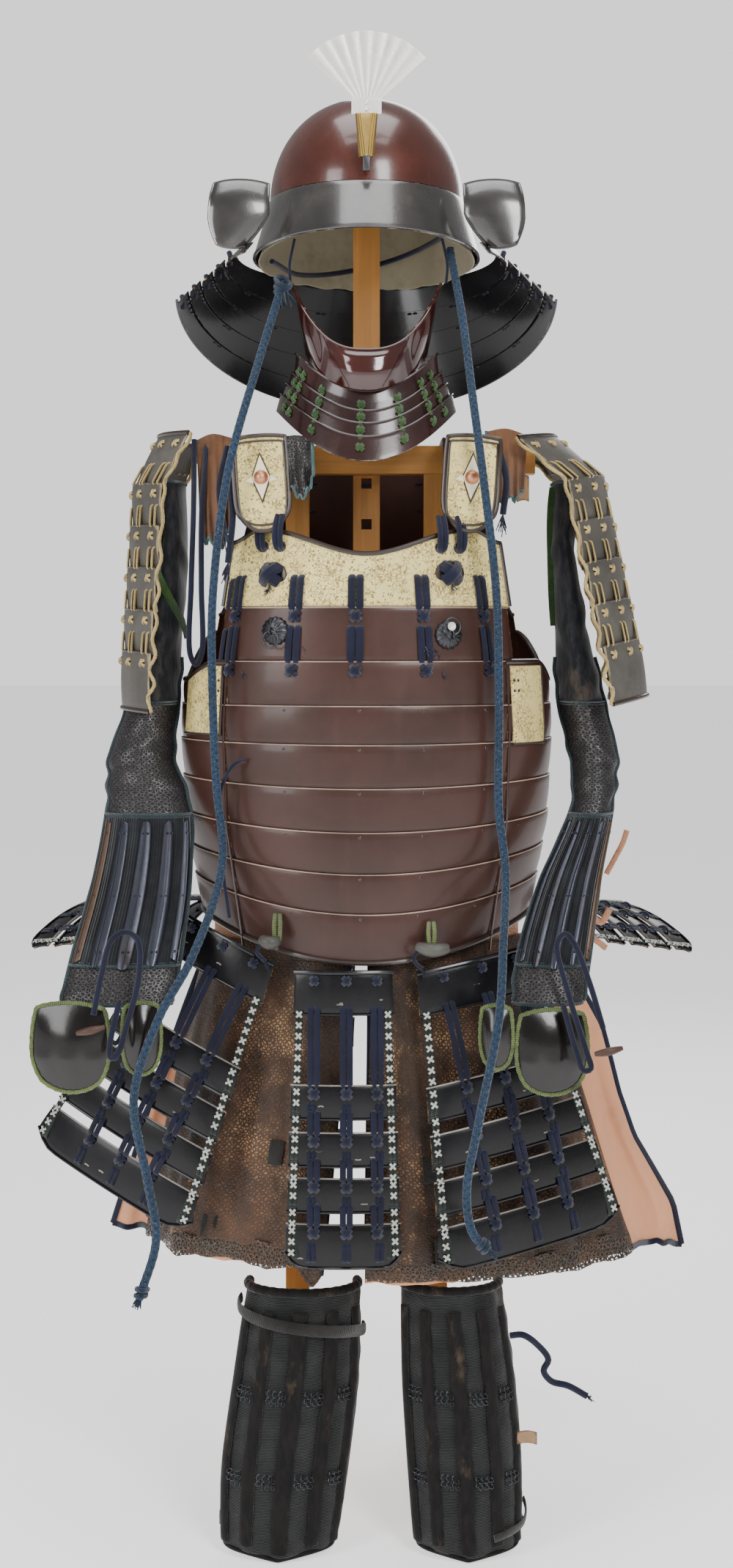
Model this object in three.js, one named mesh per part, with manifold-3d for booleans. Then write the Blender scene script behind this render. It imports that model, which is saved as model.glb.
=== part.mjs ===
// A full set of samurai armour set out on a plain wooden stand, in millimetres.
// +Z is up, the armour faces -Y, and left and right are as seen from the front: left is -X.
// The origin is on the floor, under the middle of the whole set.
import * as THREE from "three";
import { mergeVertices } from "three/addons/utils/BufferGeometryUtils.js";
import Module from "manifold-3d";

const wasm = await Module();
wasm.setup();

// ---------- Driving dimensions ----------

const PLATE = 2.5; // lacquered iron and rawhide plates
const CLOTH = 2.5; // quilted cloth and mail
const GAP = 0.5; // between pieces that lie on each other
const SIDES = { left: -1, right: 1 };
const SAME_POINT = 1e-3; // corners closer than this are one

const STAND = {
  footLength: 270, footWidth: 40, footHeight: 30, footMiddle: 72,
  postWidth: 26, postX: 77, barBottom: 1163, barTop: 1194, barHalf: 188,
  railBottom: 692, railTop: 722, headWidth: 30, headBottom: 680, headTop: 1504,
  headRadius: 58, headRise: 66, mortise: 11.6, mortises: [1108, 1154],
};

// Body armour: an oval of half width w and half depth d at each height.
const BODY = [
  { z: 600, w: 170, d: 145 },
  { z: 660, w: 178, d: 148 },
  { z: 780, w: 200, d: 151 },
  { z: 880, w: 205, d: 152 },
  { z: 960, w: 200, d: 150 },
  { z: 1015, w: 190, d: 148 },
  { z: 1095, w: 176, d: 130 },
  { z: 1200, w: 158, d: 114 },
];
const LAME_TOPS = [955, 908, 867, 821, 775, 731, 689, 636]; // the last is the bottom rim
const FRONT_HALF = 47; // degrees of the oval that the front plate spans to each side
const BACK_START = 118.5;

const RING = { radius: 9, wire: 2.2, staple: 3.4, reach: 11.6 };
const BOSSES = [
  { side: "left", degrees: -29.2, z: 987, up: false },
  { side: "right", degrees: 25.8, z: 983, up: true },
];
const BOWL = { x: 108, y: 128, rise: 113, rim: 1467 };
const HELM_Y = 5;

// Tassets, hung from the bottom rim: where the top edge's middle is, which way the face turns, how far
// the foot swings to +x and splays outwards, both widths, and the length as a share of the full one.
const TASSETS = [
  { name: "centre", x: -24, y: -158, z: 630, turn: 0, swing: 0, splay: 5, top: 103, foot: 122, share: 0.97 },
  { name: "left", x: -152, y: -122, z: 662, turn: -24, swing: -24, splay: 9, top: 126, foot: 208, share: 0.95 },
  { name: "right", x: 116, y: -138, z: 640, turn: 20, swing: 10, splay: 7, top: 132, foot: 212, share: 0.98 },
  { name: "side_left", x: -184, y: 62, z: 668, turn: -118, swing: -16, splay: 84, top: 118, foot: 150, share: 0.68 },
  { name: "side_right", x: 180, y: 64, z: 668, turn: 121, swing: 16, splay: 82, top: 118, foot: 150, share: 0.68 },
  { name: "back_left", x: -62, y: 160, z: 640, turn: 192, swing: 3, splay: 8, top: 108, foot: 124, share: 0.97 },
  { name: "back_right", x: 62, y: 160, z: 640, turn: 168, swing: -3, splay: 8, top: 108, foot: 124, share: 0.97 },
];
const TASSET_ROWS = [
  { drop: 0, height: 45 },
  { drop: 120, height: 36 },
  { drop: 170, height: 36 },
  { drop: 218, height: 36 },
  { drop: 266, height: 46 },
];
const GUARD_SEAMS = [0, 56, 102, 148, 194, 240, 306]; // down a shoulder guard

// Sleeves: oval sections of half width hx and half depth hy down the arm.
const SLEEVES = {
  left: [
    { z: 1152, x: -217, y: 0, hx: 14, hy: 44 },
    { z: 1080, x: -217, y: 0, hx: 16, hy: 52 },
    { z: 990, x: -226, y: -2, hx: 20, hy: 50 },
    { z: 915, x: -236, y: -12, hx: 26, hy: 42 },
    { z: 850, x: -247, y: -36, hx: 34, hy: 34 },
    { z: 795, x: -236, y: -74, hx: 44, hy: 23 },
    { z: 722, x: -239, y: -116, hx: 50, hy: 20 },
    { z: 655, x: -249, y: -160, hx: 55, hy: 17 },
    { z: 604, x: -257, y: -192, hx: 56, hy: 15 },
  ],
  right: [
    { z: 1152, x: 222, y: 0, hx: 14, hy: 44 },
    { z: 1080, x: 219, y: 0, hx: 14, hy: 52 },
    { z: 990, x: 229, y: -2, hx: 18, hy: 50 },
    { z: 915, x: 238, y: -12, hx: 24, hy: 42 },
    { z: 850, x: 250, y: -34, hx: 24, hy: 34 },
    { z: 795, x: 245, y: -66, hx: 21, hy: 25 },
    { z: 722, x: 217, y: -112, hx: 30, hy: 21 },
    { z: 655, x: 197, y: -156, hx: 36, hy: 18 },
    { z: 604, x: 187, y: -186, hx: 35, hy: 16 },
  ],
};
const HANDS = {
  left: {
    plate: { x: -302, y: -209, z: 562, wide: 84, tall: 92, turn: -10 },
    thumb: { x: -229, y: -214, z: 572, wide: 40, tall: 74, turn: 12 },
    web: { x: -255, y: -212, z: 586, wide: 40, tall: 16 },
  },
  right: {
    plate: { x: 190, y: -203, z: 556, wide: 76, tall: 88, turn: 8 },
    thumb: { x: 133, y: -206, z: 572, wide: 34, tall: 66, turn: -12 },
    web: { x: 153, y: -208, z: 584, wide: 26, tall: 16 },
  },
};

// Shin guards: gutters that stand on the floor, open at the back.
const SHINS = {
  left: [
    { z: 288, x: -68, y: -92, hx: 60, hy: 40 },
    { z: 190, x: -76, y: -88, hx: 67, hy: 46 },
    { z: 90, x: -88, y: -88, hx: 68, hy: 44 },
    { z: 0, x: -94, y: -92, hx: 62, hy: 38 },
  ],
  right: [
    { z: 290, x: 90, y: -92, hx: 53, hy: 40 },
    { z: 190, x: 98, y: -88, hx: 60, hy: 46 },
    { z: 90, x: 105, y: -88, hx: 61, hy: 44 },
    { z: 0, x: 108, y: -92, hx: 57, hy: 38 },
  ],
};
const SHIN_OPEN = 104; // degrees from the front to each open edge

// Thigh guard: half width and half depth at the waist and at the hem, and the azimuths of its two edges.
const APRON = {
  left: { waist: [172, 124], hem: [242, 150], slit: [-5, -11], edge: [-88, -93], hemZ: 312, flap: 62 },
  right: { waist: [172, 124], hem: [298, 150], slit: [0.8, -0.4], edge: [78, 80], hemZ: 298, flap: 84 },
};
const WAIST_Z = 652;

// Cords, by points along their middles.
const CORDS = {
  helmet_cord_left: {
    width: 10, steps: 28,
    route: [
      [-91, -62, 1368], [-117, -105, 1271], [-146, -136, 1156], [-162, -140, 1024], [-163, -132, 925],
      [-159, -130, 825], [-152, -140, 742], [-178, -205, 654], [-210, -238, 595], [-234, -240, 516],
      [-221, -238, 436], [-212, -236, 373], [-229, -236, 314],
    ],
  },
  helmet_cord_right: {
    width: 10, steps: 28,
    route: [
      [91, -60, 1405], [104, -90, 1320], [112, -122, 1242], [124, -144, 1140], [137, -140, 1024],
      [140, -134, 908], [140, -130, 800], [146, -146, 735], [140, -204, 669], [133, -240, 596],
      [113, -240, 493], [101, -234, 420], [107, -233, 380], [123, -230, 361],
    ],
  },
  shoulder_cord: {
    width: 6, steps: 16,
    route: [
      [-188, -62, 1196], [-187, -84, 1118], [-189, -90, 1037], [-190, -90, 962], [-184, -90, 951],
      [-178, -90, 962], [-178, -90, 1037], [-178, -84, 1118], [-174, -62, 1196],
    ],
  },
  side_tie: {
    width: 4, steps: 12,
    route: [
      [-129, -125, 850], [-140, -130, 846], [-153, -124, 824], [-157, -118, 785], [-154, -117, 739],
      [-146, -118, 682],
    ],
  },
  shin_tie: {
    width: 7, steps: 14,
    route: [
      [153, -120, 238], [166, -124, 240], [182, -124, 229], [193, -124, 214], [188, -124, 202],
      [196, -124, 191], [214, -124, 186], [234, -124, 175],
    ],
  },
  wrist_loop_left: {
    width: 6, steps: 18,
    route: [
      [-275, -236, 600], [-268, -226, 640], [-259, -214, 673], [-246, -211, 680], [-233, -214, 672],
      [-231, -222, 636], [-242, -237, 588], [-250, -243, 562], [-257, -244, 558], [-258, -241, 570],
      [-250, -231, 612],
    ],
  },
  wrist_loop_right: {
    width: 6, steps: 18,
    route: [
      [240, -222, 584], [227, -213, 629], [212, -205, 668], [203, -203, 677], [195, -206, 668],
      [206, -220, 615], [222, -234, 562], [226, -237, 546], [219, -237, 544], [212, -231, 562],
      [200, -219, 606],
    ],
  },
};

// ---------- Materials ----------

const finish = (color, roughness, metalness = 0) => ({ color, roughness, metalness });
const FINISH = {
  wood: finish(0xb98236, 0.55),
  russet: finish(0x5e3a30, 0.3),
  bowl: finish(0x74392f, 0.15),
  black: finish(0x1b1a1c, 0.2),
  band: finish(0x3c3a38, 0.2),
  mask: finish(0x4a2420, 0.12),
  leather: finish(0xe4dab0, 0.7),
  greyLeather: finish(0x6a6862, 0.5),
  brass: finish(0xb08a3c, 0.35, 1),
  pale: finish(0xe8e6de, 0.4, 1),
  iron: finish(0x35363a, 0.4, 1),
  mail: finish(0x4e3d2a, 0.8),
  darkCloth: finish(0x23272d, 0.9),
  shinCloth: finish(0x3a4044, 0.9),
  peach: finish(0xdfae90, 0.9),
  lining: finish(0xb9b08c, 0.9),
  blueCord: finish(0x2b4a66, 0.9),
  navyCord: finish(0x22243e, 0.9),
};

// ---------- Numbers ----------

const vec = (x, y, z) => new THREE.Vector3(x, y, z);
const rad = THREE.MathUtils.degToRad;
const mix = THREE.MathUtils.lerp;
const clamp = THREE.MathUtils.clamp;
const ease = (t) => THREE.MathUtils.smoothstep(t, 0, 1);
const range = (n) => Array.from({ length: n }, (_, i) => i);

// One row of a table sorted by z, worked out at height z by straight lines between rows.
function rowAtHeight(table, z) {
  const rows = [...table].sort((a, b) => a.z - b.z);
  const k = clamp(rows.findIndex((row) => row.z > z), 1, rows.length - 1);
  const above = rows.at(-1).z <= z ? rows.length - 1 : k;
  const low = rows[above - 1];
  const high = rows[above];
  const t = (z - low.z) / (high.z - low.z);
  return Object.fromEntries(Object.keys(low).map((key) => [key, mix(low[key], high[key], t)]));
}

// One row at v from 0 to 1 down a table, on a smooth curve through its rows.
function rowAlong(table, v) {
  const t = clamp(v, 0, 1) * (table.length - 1);
  const k = Math.min(Math.floor(t), table.length - 2);
  const f = t - k;
  const at = (i, key) => table[clamp(i, 0, table.length - 1)][key];
  const value = (key) => {
    const [a, b, c, d] = [at(k - 1, key), at(k, key), at(k + 1, key), at(k + 2, key)];
    return b + 0.5 * f * (c - a + f * (2 * a - 5 * b + 4 * c - d + f * (3 * (b - c) + d - a)));
  };
  return Object.fromEntries(Object.keys(table[0]).map((key) => [key, value(key)]));
}

// Rows for lames that overlap: each starts proud of the one above and comes in to its foot.
function steppedRows(seams, edge, proud) {
  return seams.slice(0, -1).flatMap((seam, k) => {
    const last = k === seams.length - 2;
    const foot = seams[k + 1];
    return [
      { at: seam, out: proud },
      { at: last ? foot : foot - edge * Math.sign(foot - seam), out: last ? proud * 0.6 : 0 },
    ];
  });
}

// Where v from 0 to 1 falls among such rows, counted evenly.
function alongRows(rows, v) {
  const t = clamp(v, 0, 1) * (rows.length - 1);
  const k = Math.min(Math.floor(t), rows.length - 2);
  return { at: mix(rows[k].at, rows[k + 1].at, t - k), out: mix(rows[k].out, rows[k + 1].out, t - k) };
}

// ---------- Geometry ----------

// A wall whose outer face is at(u, v), with u across and v down, from 0 to 1. Its inner face lies
// thick behind it, or on back(u, v) where that is given. A ring closes in u.
function wall(at, thick, nu, nv, ring = false, back = null) {
  const step = 1e-3;
  const columns = ring ? nu : nu + 1;
  const low = (t) => (ring ? t : Math.max(t, 0));
  const high = (t) => (ring ? t : Math.min(t, 1));
  const outer = [];
  const inner = [];
  for (let j = 0; j <= nv; j++) {
    for (let i = 0; i < columns; i++) {
      const u = i / nu;
      const v = j / nv;
      const across = at(high(u + step), v).sub(at(low(u - step), v));
      const down = at(u, Math.min(v + step, 1)).sub(at(u, Math.max(v - step, 0)));
      const point = at(u, v);
      outer.push(point);
      inner.push(back ? back(u, v) : point.clone().addScaledVector(down.cross(across).normalize(), -thick));
    }
  }
  const count = outer.length;
  const id = (i, j) => j * columns + (i % columns);
  const faces = [];
  const quad = (a, b, c, d) => faces.push(a, b, c, c, b, d);
  const side = (a, b) => faces.push(b, a, a + count, b, a + count, b + count);
  for (let j = 0; j < nv; j++) {
    for (let i = 0; i < nu; i++) {
      const [a, b, c, d] = [id(i, j), id(i, j + 1), id(i + 1, j), id(i + 1, j + 1)];
      quad(a, b, c, d);
      faces.push(a + count, c + count, b + count, c + count, d + count, b + count);
    }
  }
  for (let i = 0; i < nu; i++) {
    side(id(i + 1, 0), id(i, 0));
    side(id(i, nv), id(i + 1, nv));
  }
  if (!ring) {
    for (let j = 0; j < nv; j++) {
      side(id(0, j), id(0, j + 1));
      side(id(nu, j + 1), id(nu, j));
    }
  }
  const geometry = new THREE.BufferGeometry().setFromPoints([...outer, ...inner]);
  geometry.setIndex(faces);
  return geometry;
}

// A round or many-sided rod along a smooth curve.
function rod(points, width, steps, sides = 8) {
  const section = new THREE.Shape(
    range(sides).map((k) => {
      const a = (2 * Math.PI * k) / sides;
      return new THREE.Vector2((width / 2) * Math.cos(a), (width / 2) * Math.sin(a));
    }),
  );
  const path = new THREE.CatmullRomCurve3(points.map((p) => vec(...p)), false, "centripetal");
  return new THREE.ExtrudeGeometry(section, { steps, extrudePath: path, bevelEnabled: false });
}

// A box given by its lowest and highest corners.
function box(low, high) {
  const size = high.map((h, k) => h - low[k]);
  const middle = high.map((h, k) => (h + low[k]) / 2);
  return new THREE.BoxGeometry(...size).translate(...middle);
}

// A plate with rounded corners in the x-z plane, bulging to -y.
function roundPlate(wide, tall, thick, { round = 0.6, bulge = 0, cells = 5 } = {}) {
  const at = (u, v) => {
    const s = 2 * u - 1;
    const t = 1 - 2 * v;
    const x = s * (1 - round + round * Math.sqrt(1 - (t * t) / 2));
    const z = t * (1 - round + round * Math.sqrt(1 - (s * s) / 2));
    return vec((x * wide) / 2, -bulge * (1 - s * s) * (1 - t * t), (z * tall) / 2);
  };
  return wall(at, thick, cells, cells);
}

// A turned form about the z axis; every profile point is [radius, height].
function turned(profile, segments, stretchY = 1) {
  const points = profile.map(([r, h]) => new THREE.Vector2(r, h));
  return new THREE.LatheGeometry(points, segments).rotateX(Math.PI / 2).scale(1, stretchY, 1);
}

function placed(geometry, { x = 0, y = 0, z = 0, turn = 0, swing = 0, splay = 0 }) {
  const matrix = new THREE.Matrix4().makeTranslation(x, y, z);
  matrix.multiply(new THREE.Matrix4().makeRotationZ(rad(turn)));
  matrix.multiply(new THREE.Matrix4().makeRotationY(rad(-swing)));
  matrix.multiply(new THREE.Matrix4().makeRotationX(rad(-splay)));
  return geometry.applyMatrix4(matrix);
}

function toSolid(geometry) {
  const bare = geometry.clone();
  bare.deleteAttribute("normal");
  bare.deleteAttribute("uv");
  const merged = mergeVertices(bare, SAME_POINT);
  return new wasm.Manifold(
    new wasm.Mesh({
      numProp: 3,
      vertProperties: merged.attributes.position.array,
      triVerts: new Uint32Array(merged.index.array),
    }),
  );
}

function fromSolid(solid) {
  const mesh = solid.getMesh();
  const positions = new THREE.BufferAttribute(mesh.vertProperties.slice(), 3);
  const geometry = new THREE.BufferGeometry().setAttribute("position", positions);
  return geometry.setIndex(new THREE.BufferAttribute(mesh.triVerts, 1));
}

const joined = (...parts) => fromSolid(parts.map(toSolid).reduce((a, b) => a.add(b)));
const cut = (whole, ...holes) => fromSolid(holes.map(toSolid).reduce((a, b) => a.subtract(b), toSolid(whole)));

const armour = new THREE.Group();

function add(name, geometry, { color, roughness, metalness }) {
  if (!geometry.getAttribute("normal")) geometry.computeVertexNormals();
  const material = new THREE.MeshStandardMaterial({ color, roughness, metalness });
  const mesh = new THREE.Mesh(geometry, material);
  mesh.name = name;
  armour.add(mesh);
}

// ---------- Stand ----------

function buildStand() {
  const half = STAND.postWidth / 2;
  for (const [side, sign] of Object.entries(SIDES)) {
    const foot = new THREE.Shape();
    const end = STAND.footLength / 2;
    foot.moveTo(-end, 0).lineTo(end, 0).lineTo(end, STAND.footHeight - 12);
    foot.lineTo(end - 24, STAND.footHeight).lineTo(24 - end, STAND.footHeight);
    foot.lineTo(-end, STAND.footHeight - 12);
    const runner = new THREE.ExtrudeGeometry(foot, { depth: STAND.footWidth, bevelEnabled: false });
    runner.translate(0, 0, -STAND.footWidth / 2).rotateX(Math.PI / 2).rotateZ(Math.PI / 2);
    runner.translate(sign * STAND.postX, STAND.footMiddle, 0);
    add(`stand_foot_${side}`, runner, FINISH.wood);
    const x = sign * STAND.postX;
    const upright = box([x - half, -half, STAND.footHeight + 0.3], [x + half, half, STAND.barBottom - 0.3]);
    add(`stand_upright_${side}`, upright, FINISH.wood);
  }
  const inner = STAND.postX - half - 0.3;
  const { barHalf, barBottom, barTop, railBottom, railTop, mortise } = STAND;
  add("stand_waist_rail", box([-inner, -half, railBottom], [inner, half, railTop]), FINISH.wood);
  add("stand_shoulder_bar", box([-barHalf, -half - 1, barBottom], [barHalf, half + 1, barTop]), FINISH.wood);
  const front = half + 1.3;
  const post = box([-STAND.headWidth / 2, front, STAND.headBottom], [STAND.headWidth / 2, front + 24, STAND.headTop]);
  const holes = STAND.mortises.map((z) =>
    box([-mortise / 2, front - 5, z - mortise / 2], [mortise / 2, front + 29, z + mortise / 2]),
  );
  const { headRadius, headRise, headTop } = STAND;
  const dome = range(5).map((k) => {
    const a = (k * Math.PI) / 10;
    return [headRadius * Math.cos(a), headTop - 4 + headRise * Math.sin(a)];
  });
  const block = turned([[0, headTop - 4], ...dome, [0, headTop - 4 + headRise]], 16, 1.15);
  block.translate(0, HELM_Y + 6, 0);
  add("stand_centre_post", joined(cut(post, ...holes), block), FINISH.wood);
}

// ---------- Helmet ----------

// A point on the helmet's oval: azimuth 0 is the front, 90 the right side.
const helmPoint = (azimuth, w, d, z) => vec(w * Math.sin(azimuth), HELM_Y - d * Math.cos(azimuth), z);

// A dome on an oval base, as a closed shell: its profile runs up outside and down inside.
function domeShell({ x, y, rise }, thick, base, segments, steps) {
  const arc = (r, h) => range(steps + 1).map((k) => {
    const a = (k * Math.PI) / (2 * steps);
    return [r * Math.cos(a) ** 0.9, base + h * Math.sin(a)];
  });
  const outside = arc(x, rise);
  const inside = arc(x - thick, rise - thick).reverse();
  outside[steps][0] = 0;
  inside[0][0] = 0;
  return turned([...outside, ...inside, outside[0]], segments, y / x);
}

function buildHelmet() {
  add("helmet_bowl", domeShell(BOWL, 3, BOWL.rim, 20, 5).translate(0, HELM_Y, 0), FINISH.bowl);

  // The band under the bowl flares into a peak at the front; inside lies behind its outer face.
  const brow = (azimuth, v, inside = 0) => {
    const front = ((1 + Math.cos(azimuth)) / 2) ** 2;
    const w = mix(BOWL.x + 1, mix(124, 134, front), v) - inside;
    const d = mix(BOWL.y + 1, mix(138, 158, front), v) - inside;
    return helmPoint(azimuth, w, d, mix(BOWL.rim - 0.5, mix(1400, 1411, front), v));
  };
  const turnOf = (u) => 2 * Math.PI * u;
  add("helmet_brow_band", wall((u, v) => brow(turnOf(u), v), PLATE, 20, 2, true), FINISH.band);

  // The lining is a cap whose skirt hangs inside the band.
  const cap = (u, v) => {
    const a = turnOf(u);
    const low = (v - 0.7) / 0.3;
    if (low > 0) return brow(a, low, mix(9, 5, low)).add(vec(0, 0, -4 * low * Math.sin(a / 2) ** 2));
    const rise = (Math.PI / 2) * (1 - v / 0.7);
    const r = Math.max(Math.cos(rise) ** 0.9, 0.02);
    return helmPoint(a, (BOWL.x - 8) * r, (BOWL.y - 8) * r, BOWL.rim - 0.5 + (BOWL.rise - 8) * Math.sin(rise));
  };
  add("helmet_lining", wall(cap, 2, 16, 7, true), FINISH.lining);

  // Neck guard: five lames, each flaring more than the one above, open at the front.
  const ring = (j, angle) => {
    const out = 13.6 * j;
    const x = (143 + out) * Math.cos(angle);
    const y = HELM_Y - 14 + (159 + 8 * j) * Math.sin(angle);
    return vec(x, y, 1402 - 10 * j - (6 + 18.2 * j) * Math.max(Math.sin(angle), -0.1));
  };
  const lames = steppedRows(range(6), 0.08, 3);
  const flare = (u, v, behind) => {
    const { at: j, out: proud } = alongRows(lames, v);
    const out = behind ?? proud;
    const forward = 22 * clamp(1.2 - j, 0, 1);
    const angle = rad(mix(-6 - forward, 186 + forward, u));
    return ring(j, angle).add(vec(out * Math.cos(angle), out * Math.sin(angle), 0.5 * out));
  };
  const under = (u, v) => flare(u, v, -2.2);
  const guard = wall((u, v) => flare(u, v), 2.2, 14, lames.length - 1, false, under);
  add("helmet_neck_guard", guard, FINISH.black);

  for (const [side, sign] of Object.entries(SIDES)) {
    const curl = (u, v) => {
      const s = 2 * u - 1;
      const t = 1 - 2 * v;
      const low = Math.max(-t, 0);
      const half = 31 * (1 - 0.5 * low ** 1.5);
      const x = half * s * (0.75 + 0.25 * Math.sqrt(1 - (t * t) / 2)) + 8 * sign * low;
      const z = 38 * t * (0.65 + 0.35 * Math.sqrt(1 - (s * s) / 2));
      return vec(x, 12 * Math.max(t, 0) ** 2 + 4 * s * s - sign * 8 * s, z);
    };
    const flap = placed(wall(curl, 2, 5, 6), { x: sign * 139, y: -92, z: 1438, turn: sign * 12 });
    add(`helmet_turnback_${side}`, flap, FINISH.band);
  }

  // Crest holder: a folded brass sleeve on an iron prong; the crest is a broad fan on a short tab.
  const sleeve = new THREE.Shape();
  sleeve.moveTo(-10, 45).lineTo(10, 45).lineTo(5, 0).lineTo(-5, 0);
  const holder = new THREE.ExtrudeGeometry(sleeve, { depth: 7, bevelEnabled: false }).rotateX(Math.PI / 2);
  holder.translate(0, 3.5, 0);
  const prong = box([-4, -4, -15], [4, 4, 6]);
  add("crest_holder", placed(joined(holder, prong), { y: -135.5, z: 1488, splay: -6 }), FINISH.brass);
  const fan = new THREE.Shape();
  fan.moveTo(-16, 0).lineTo(16, 0).absarc(0, 2, 84, rad(42), rad(138), false);
  const crest = new THREE.ExtrudeGeometry(fan, { depth: 1.6, bevelEnabled: false, curveSegments: 10 });
  crest.rotateX(Math.PI / 2).translate(0, 0.8, 0);
  add("crest_plate", placed(crest, { y: -130.5, z: 1534, splay: -6 }), FINISH.pale);
}

// ---------- Half mask and throat guard ----------

const FACE_Y = -35;

function buildMask() {
  const half = rad(82);
  const face = (u, v) => {
    const a = mix(-half, half, u);
    const side = Math.abs(Math.sin(a));
    const top = 1286 + 86 * side ** 2.6;
    const bottom = 1241 + 48 * side ** 2;
    const z = mix(top, bottom, v);
    const chin = Math.exp(-((a / 0.5) ** 4)) * Math.exp(-(((v - 0.62) / 0.4) ** 2));
    const taper = 1 - 0.2 * v * side;
    return vec(84 * Math.sin(a) * taper, FACE_Y - (92 + 10 * chin - 8 * v * v) * Math.cos(a), z);
  };
  add("half_mask", wall(face, PLATE, 14, 4), FINISH.mask);

  const edges = [
    { w: 76, d: 78, front: 1234, side: 1284 },
    { w: 81, d: 85, front: 1220, side: 1272 },
    { w: 87, d: 92, front: 1206, side: 1260 },
    { w: 93, d: 99, front: 1191, side: 1248 },
    { w: 101, d: 110, front: 1166, side: 1230 },
  ];
  const edgePoint = (j, a, lift) => {
    const row = rowAlong(edges, j / (edges.length - 1));
    const z = mix(row.front, row.side, Math.sin(a) ** 2);
    return vec((row.w + lift) * Math.sin(a), FACE_Y - (row.d + lift) * Math.cos(a), z);
  };
  const lames = steppedRows(range(5), 0.1, 2.4);
  const bib = (u, v, behind) => {
    const { at: j, out } = alongRows(lames, v);
    return edgePoint(j, rad(mix(-80, 80, u)), behind ?? out);
  };
  const throat = wall((u, v) => bib(u, v), 2, 12, lames.length - 1, false, (u, v) => bib(u, v, -2));
  add("throat_guard", throat, FINISH.mask);
}

// ---------- Body armour ----------

// A point on the body's oval at an azimuth in degrees, moved out from it.
function bodyPoint(degrees, z, out = 0) {
  const { w, d } = rowAtHeight(BODY, z);
  const a = rad(degrees);
  return vec((w + out) * Math.sin(a), -(d + out) * Math.cos(a), z);
}

// Which way the oval faces at an azimuth, in degrees from the front.
function bodyFacing(degrees, z) {
  const { w, d } = rowAtHeight(BODY, z);
  return THREE.MathUtils.radToDeg(Math.atan2(Math.sin(rad(degrees)) / w, Math.cos(rad(degrees)) / d));
}

// The seams between lames rise a little towards the sides, most at the bottom rim.
function seamHeight(z, degrees) {
  const depth = clamp((908 - z) / 272, 0, 1);
  return z + 42 * depth ** 1.5 * Math.sin(rad(degrees)) ** 2;
}

// A stretch of the body made of lames: each lame's top edge stands a little proud.
function lameWall(from, to, cells, topAt) {
  const rows = steppedRows(LAME_TOPS, 1, 1.6);
  const at = (u, v, behind) => {
    const degrees = mix(from, to, u);
    const { at: seam, out } = alongRows(rows, v);
    const z = seamHeight(seam, degrees);
    const share = clamp((z - LAME_TOPS[1]) / (LAME_TOPS[0] - LAME_TOPS[1]), 0, 1);
    return bodyPoint(degrees, mix(z, topAt(degrees), share), behind ?? out);
  };
  return wall((u, v) => at(u, v), PLATE, cells, rows.length - 1, false, (u, v) => at(u, v, -PLATE));
}

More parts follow.
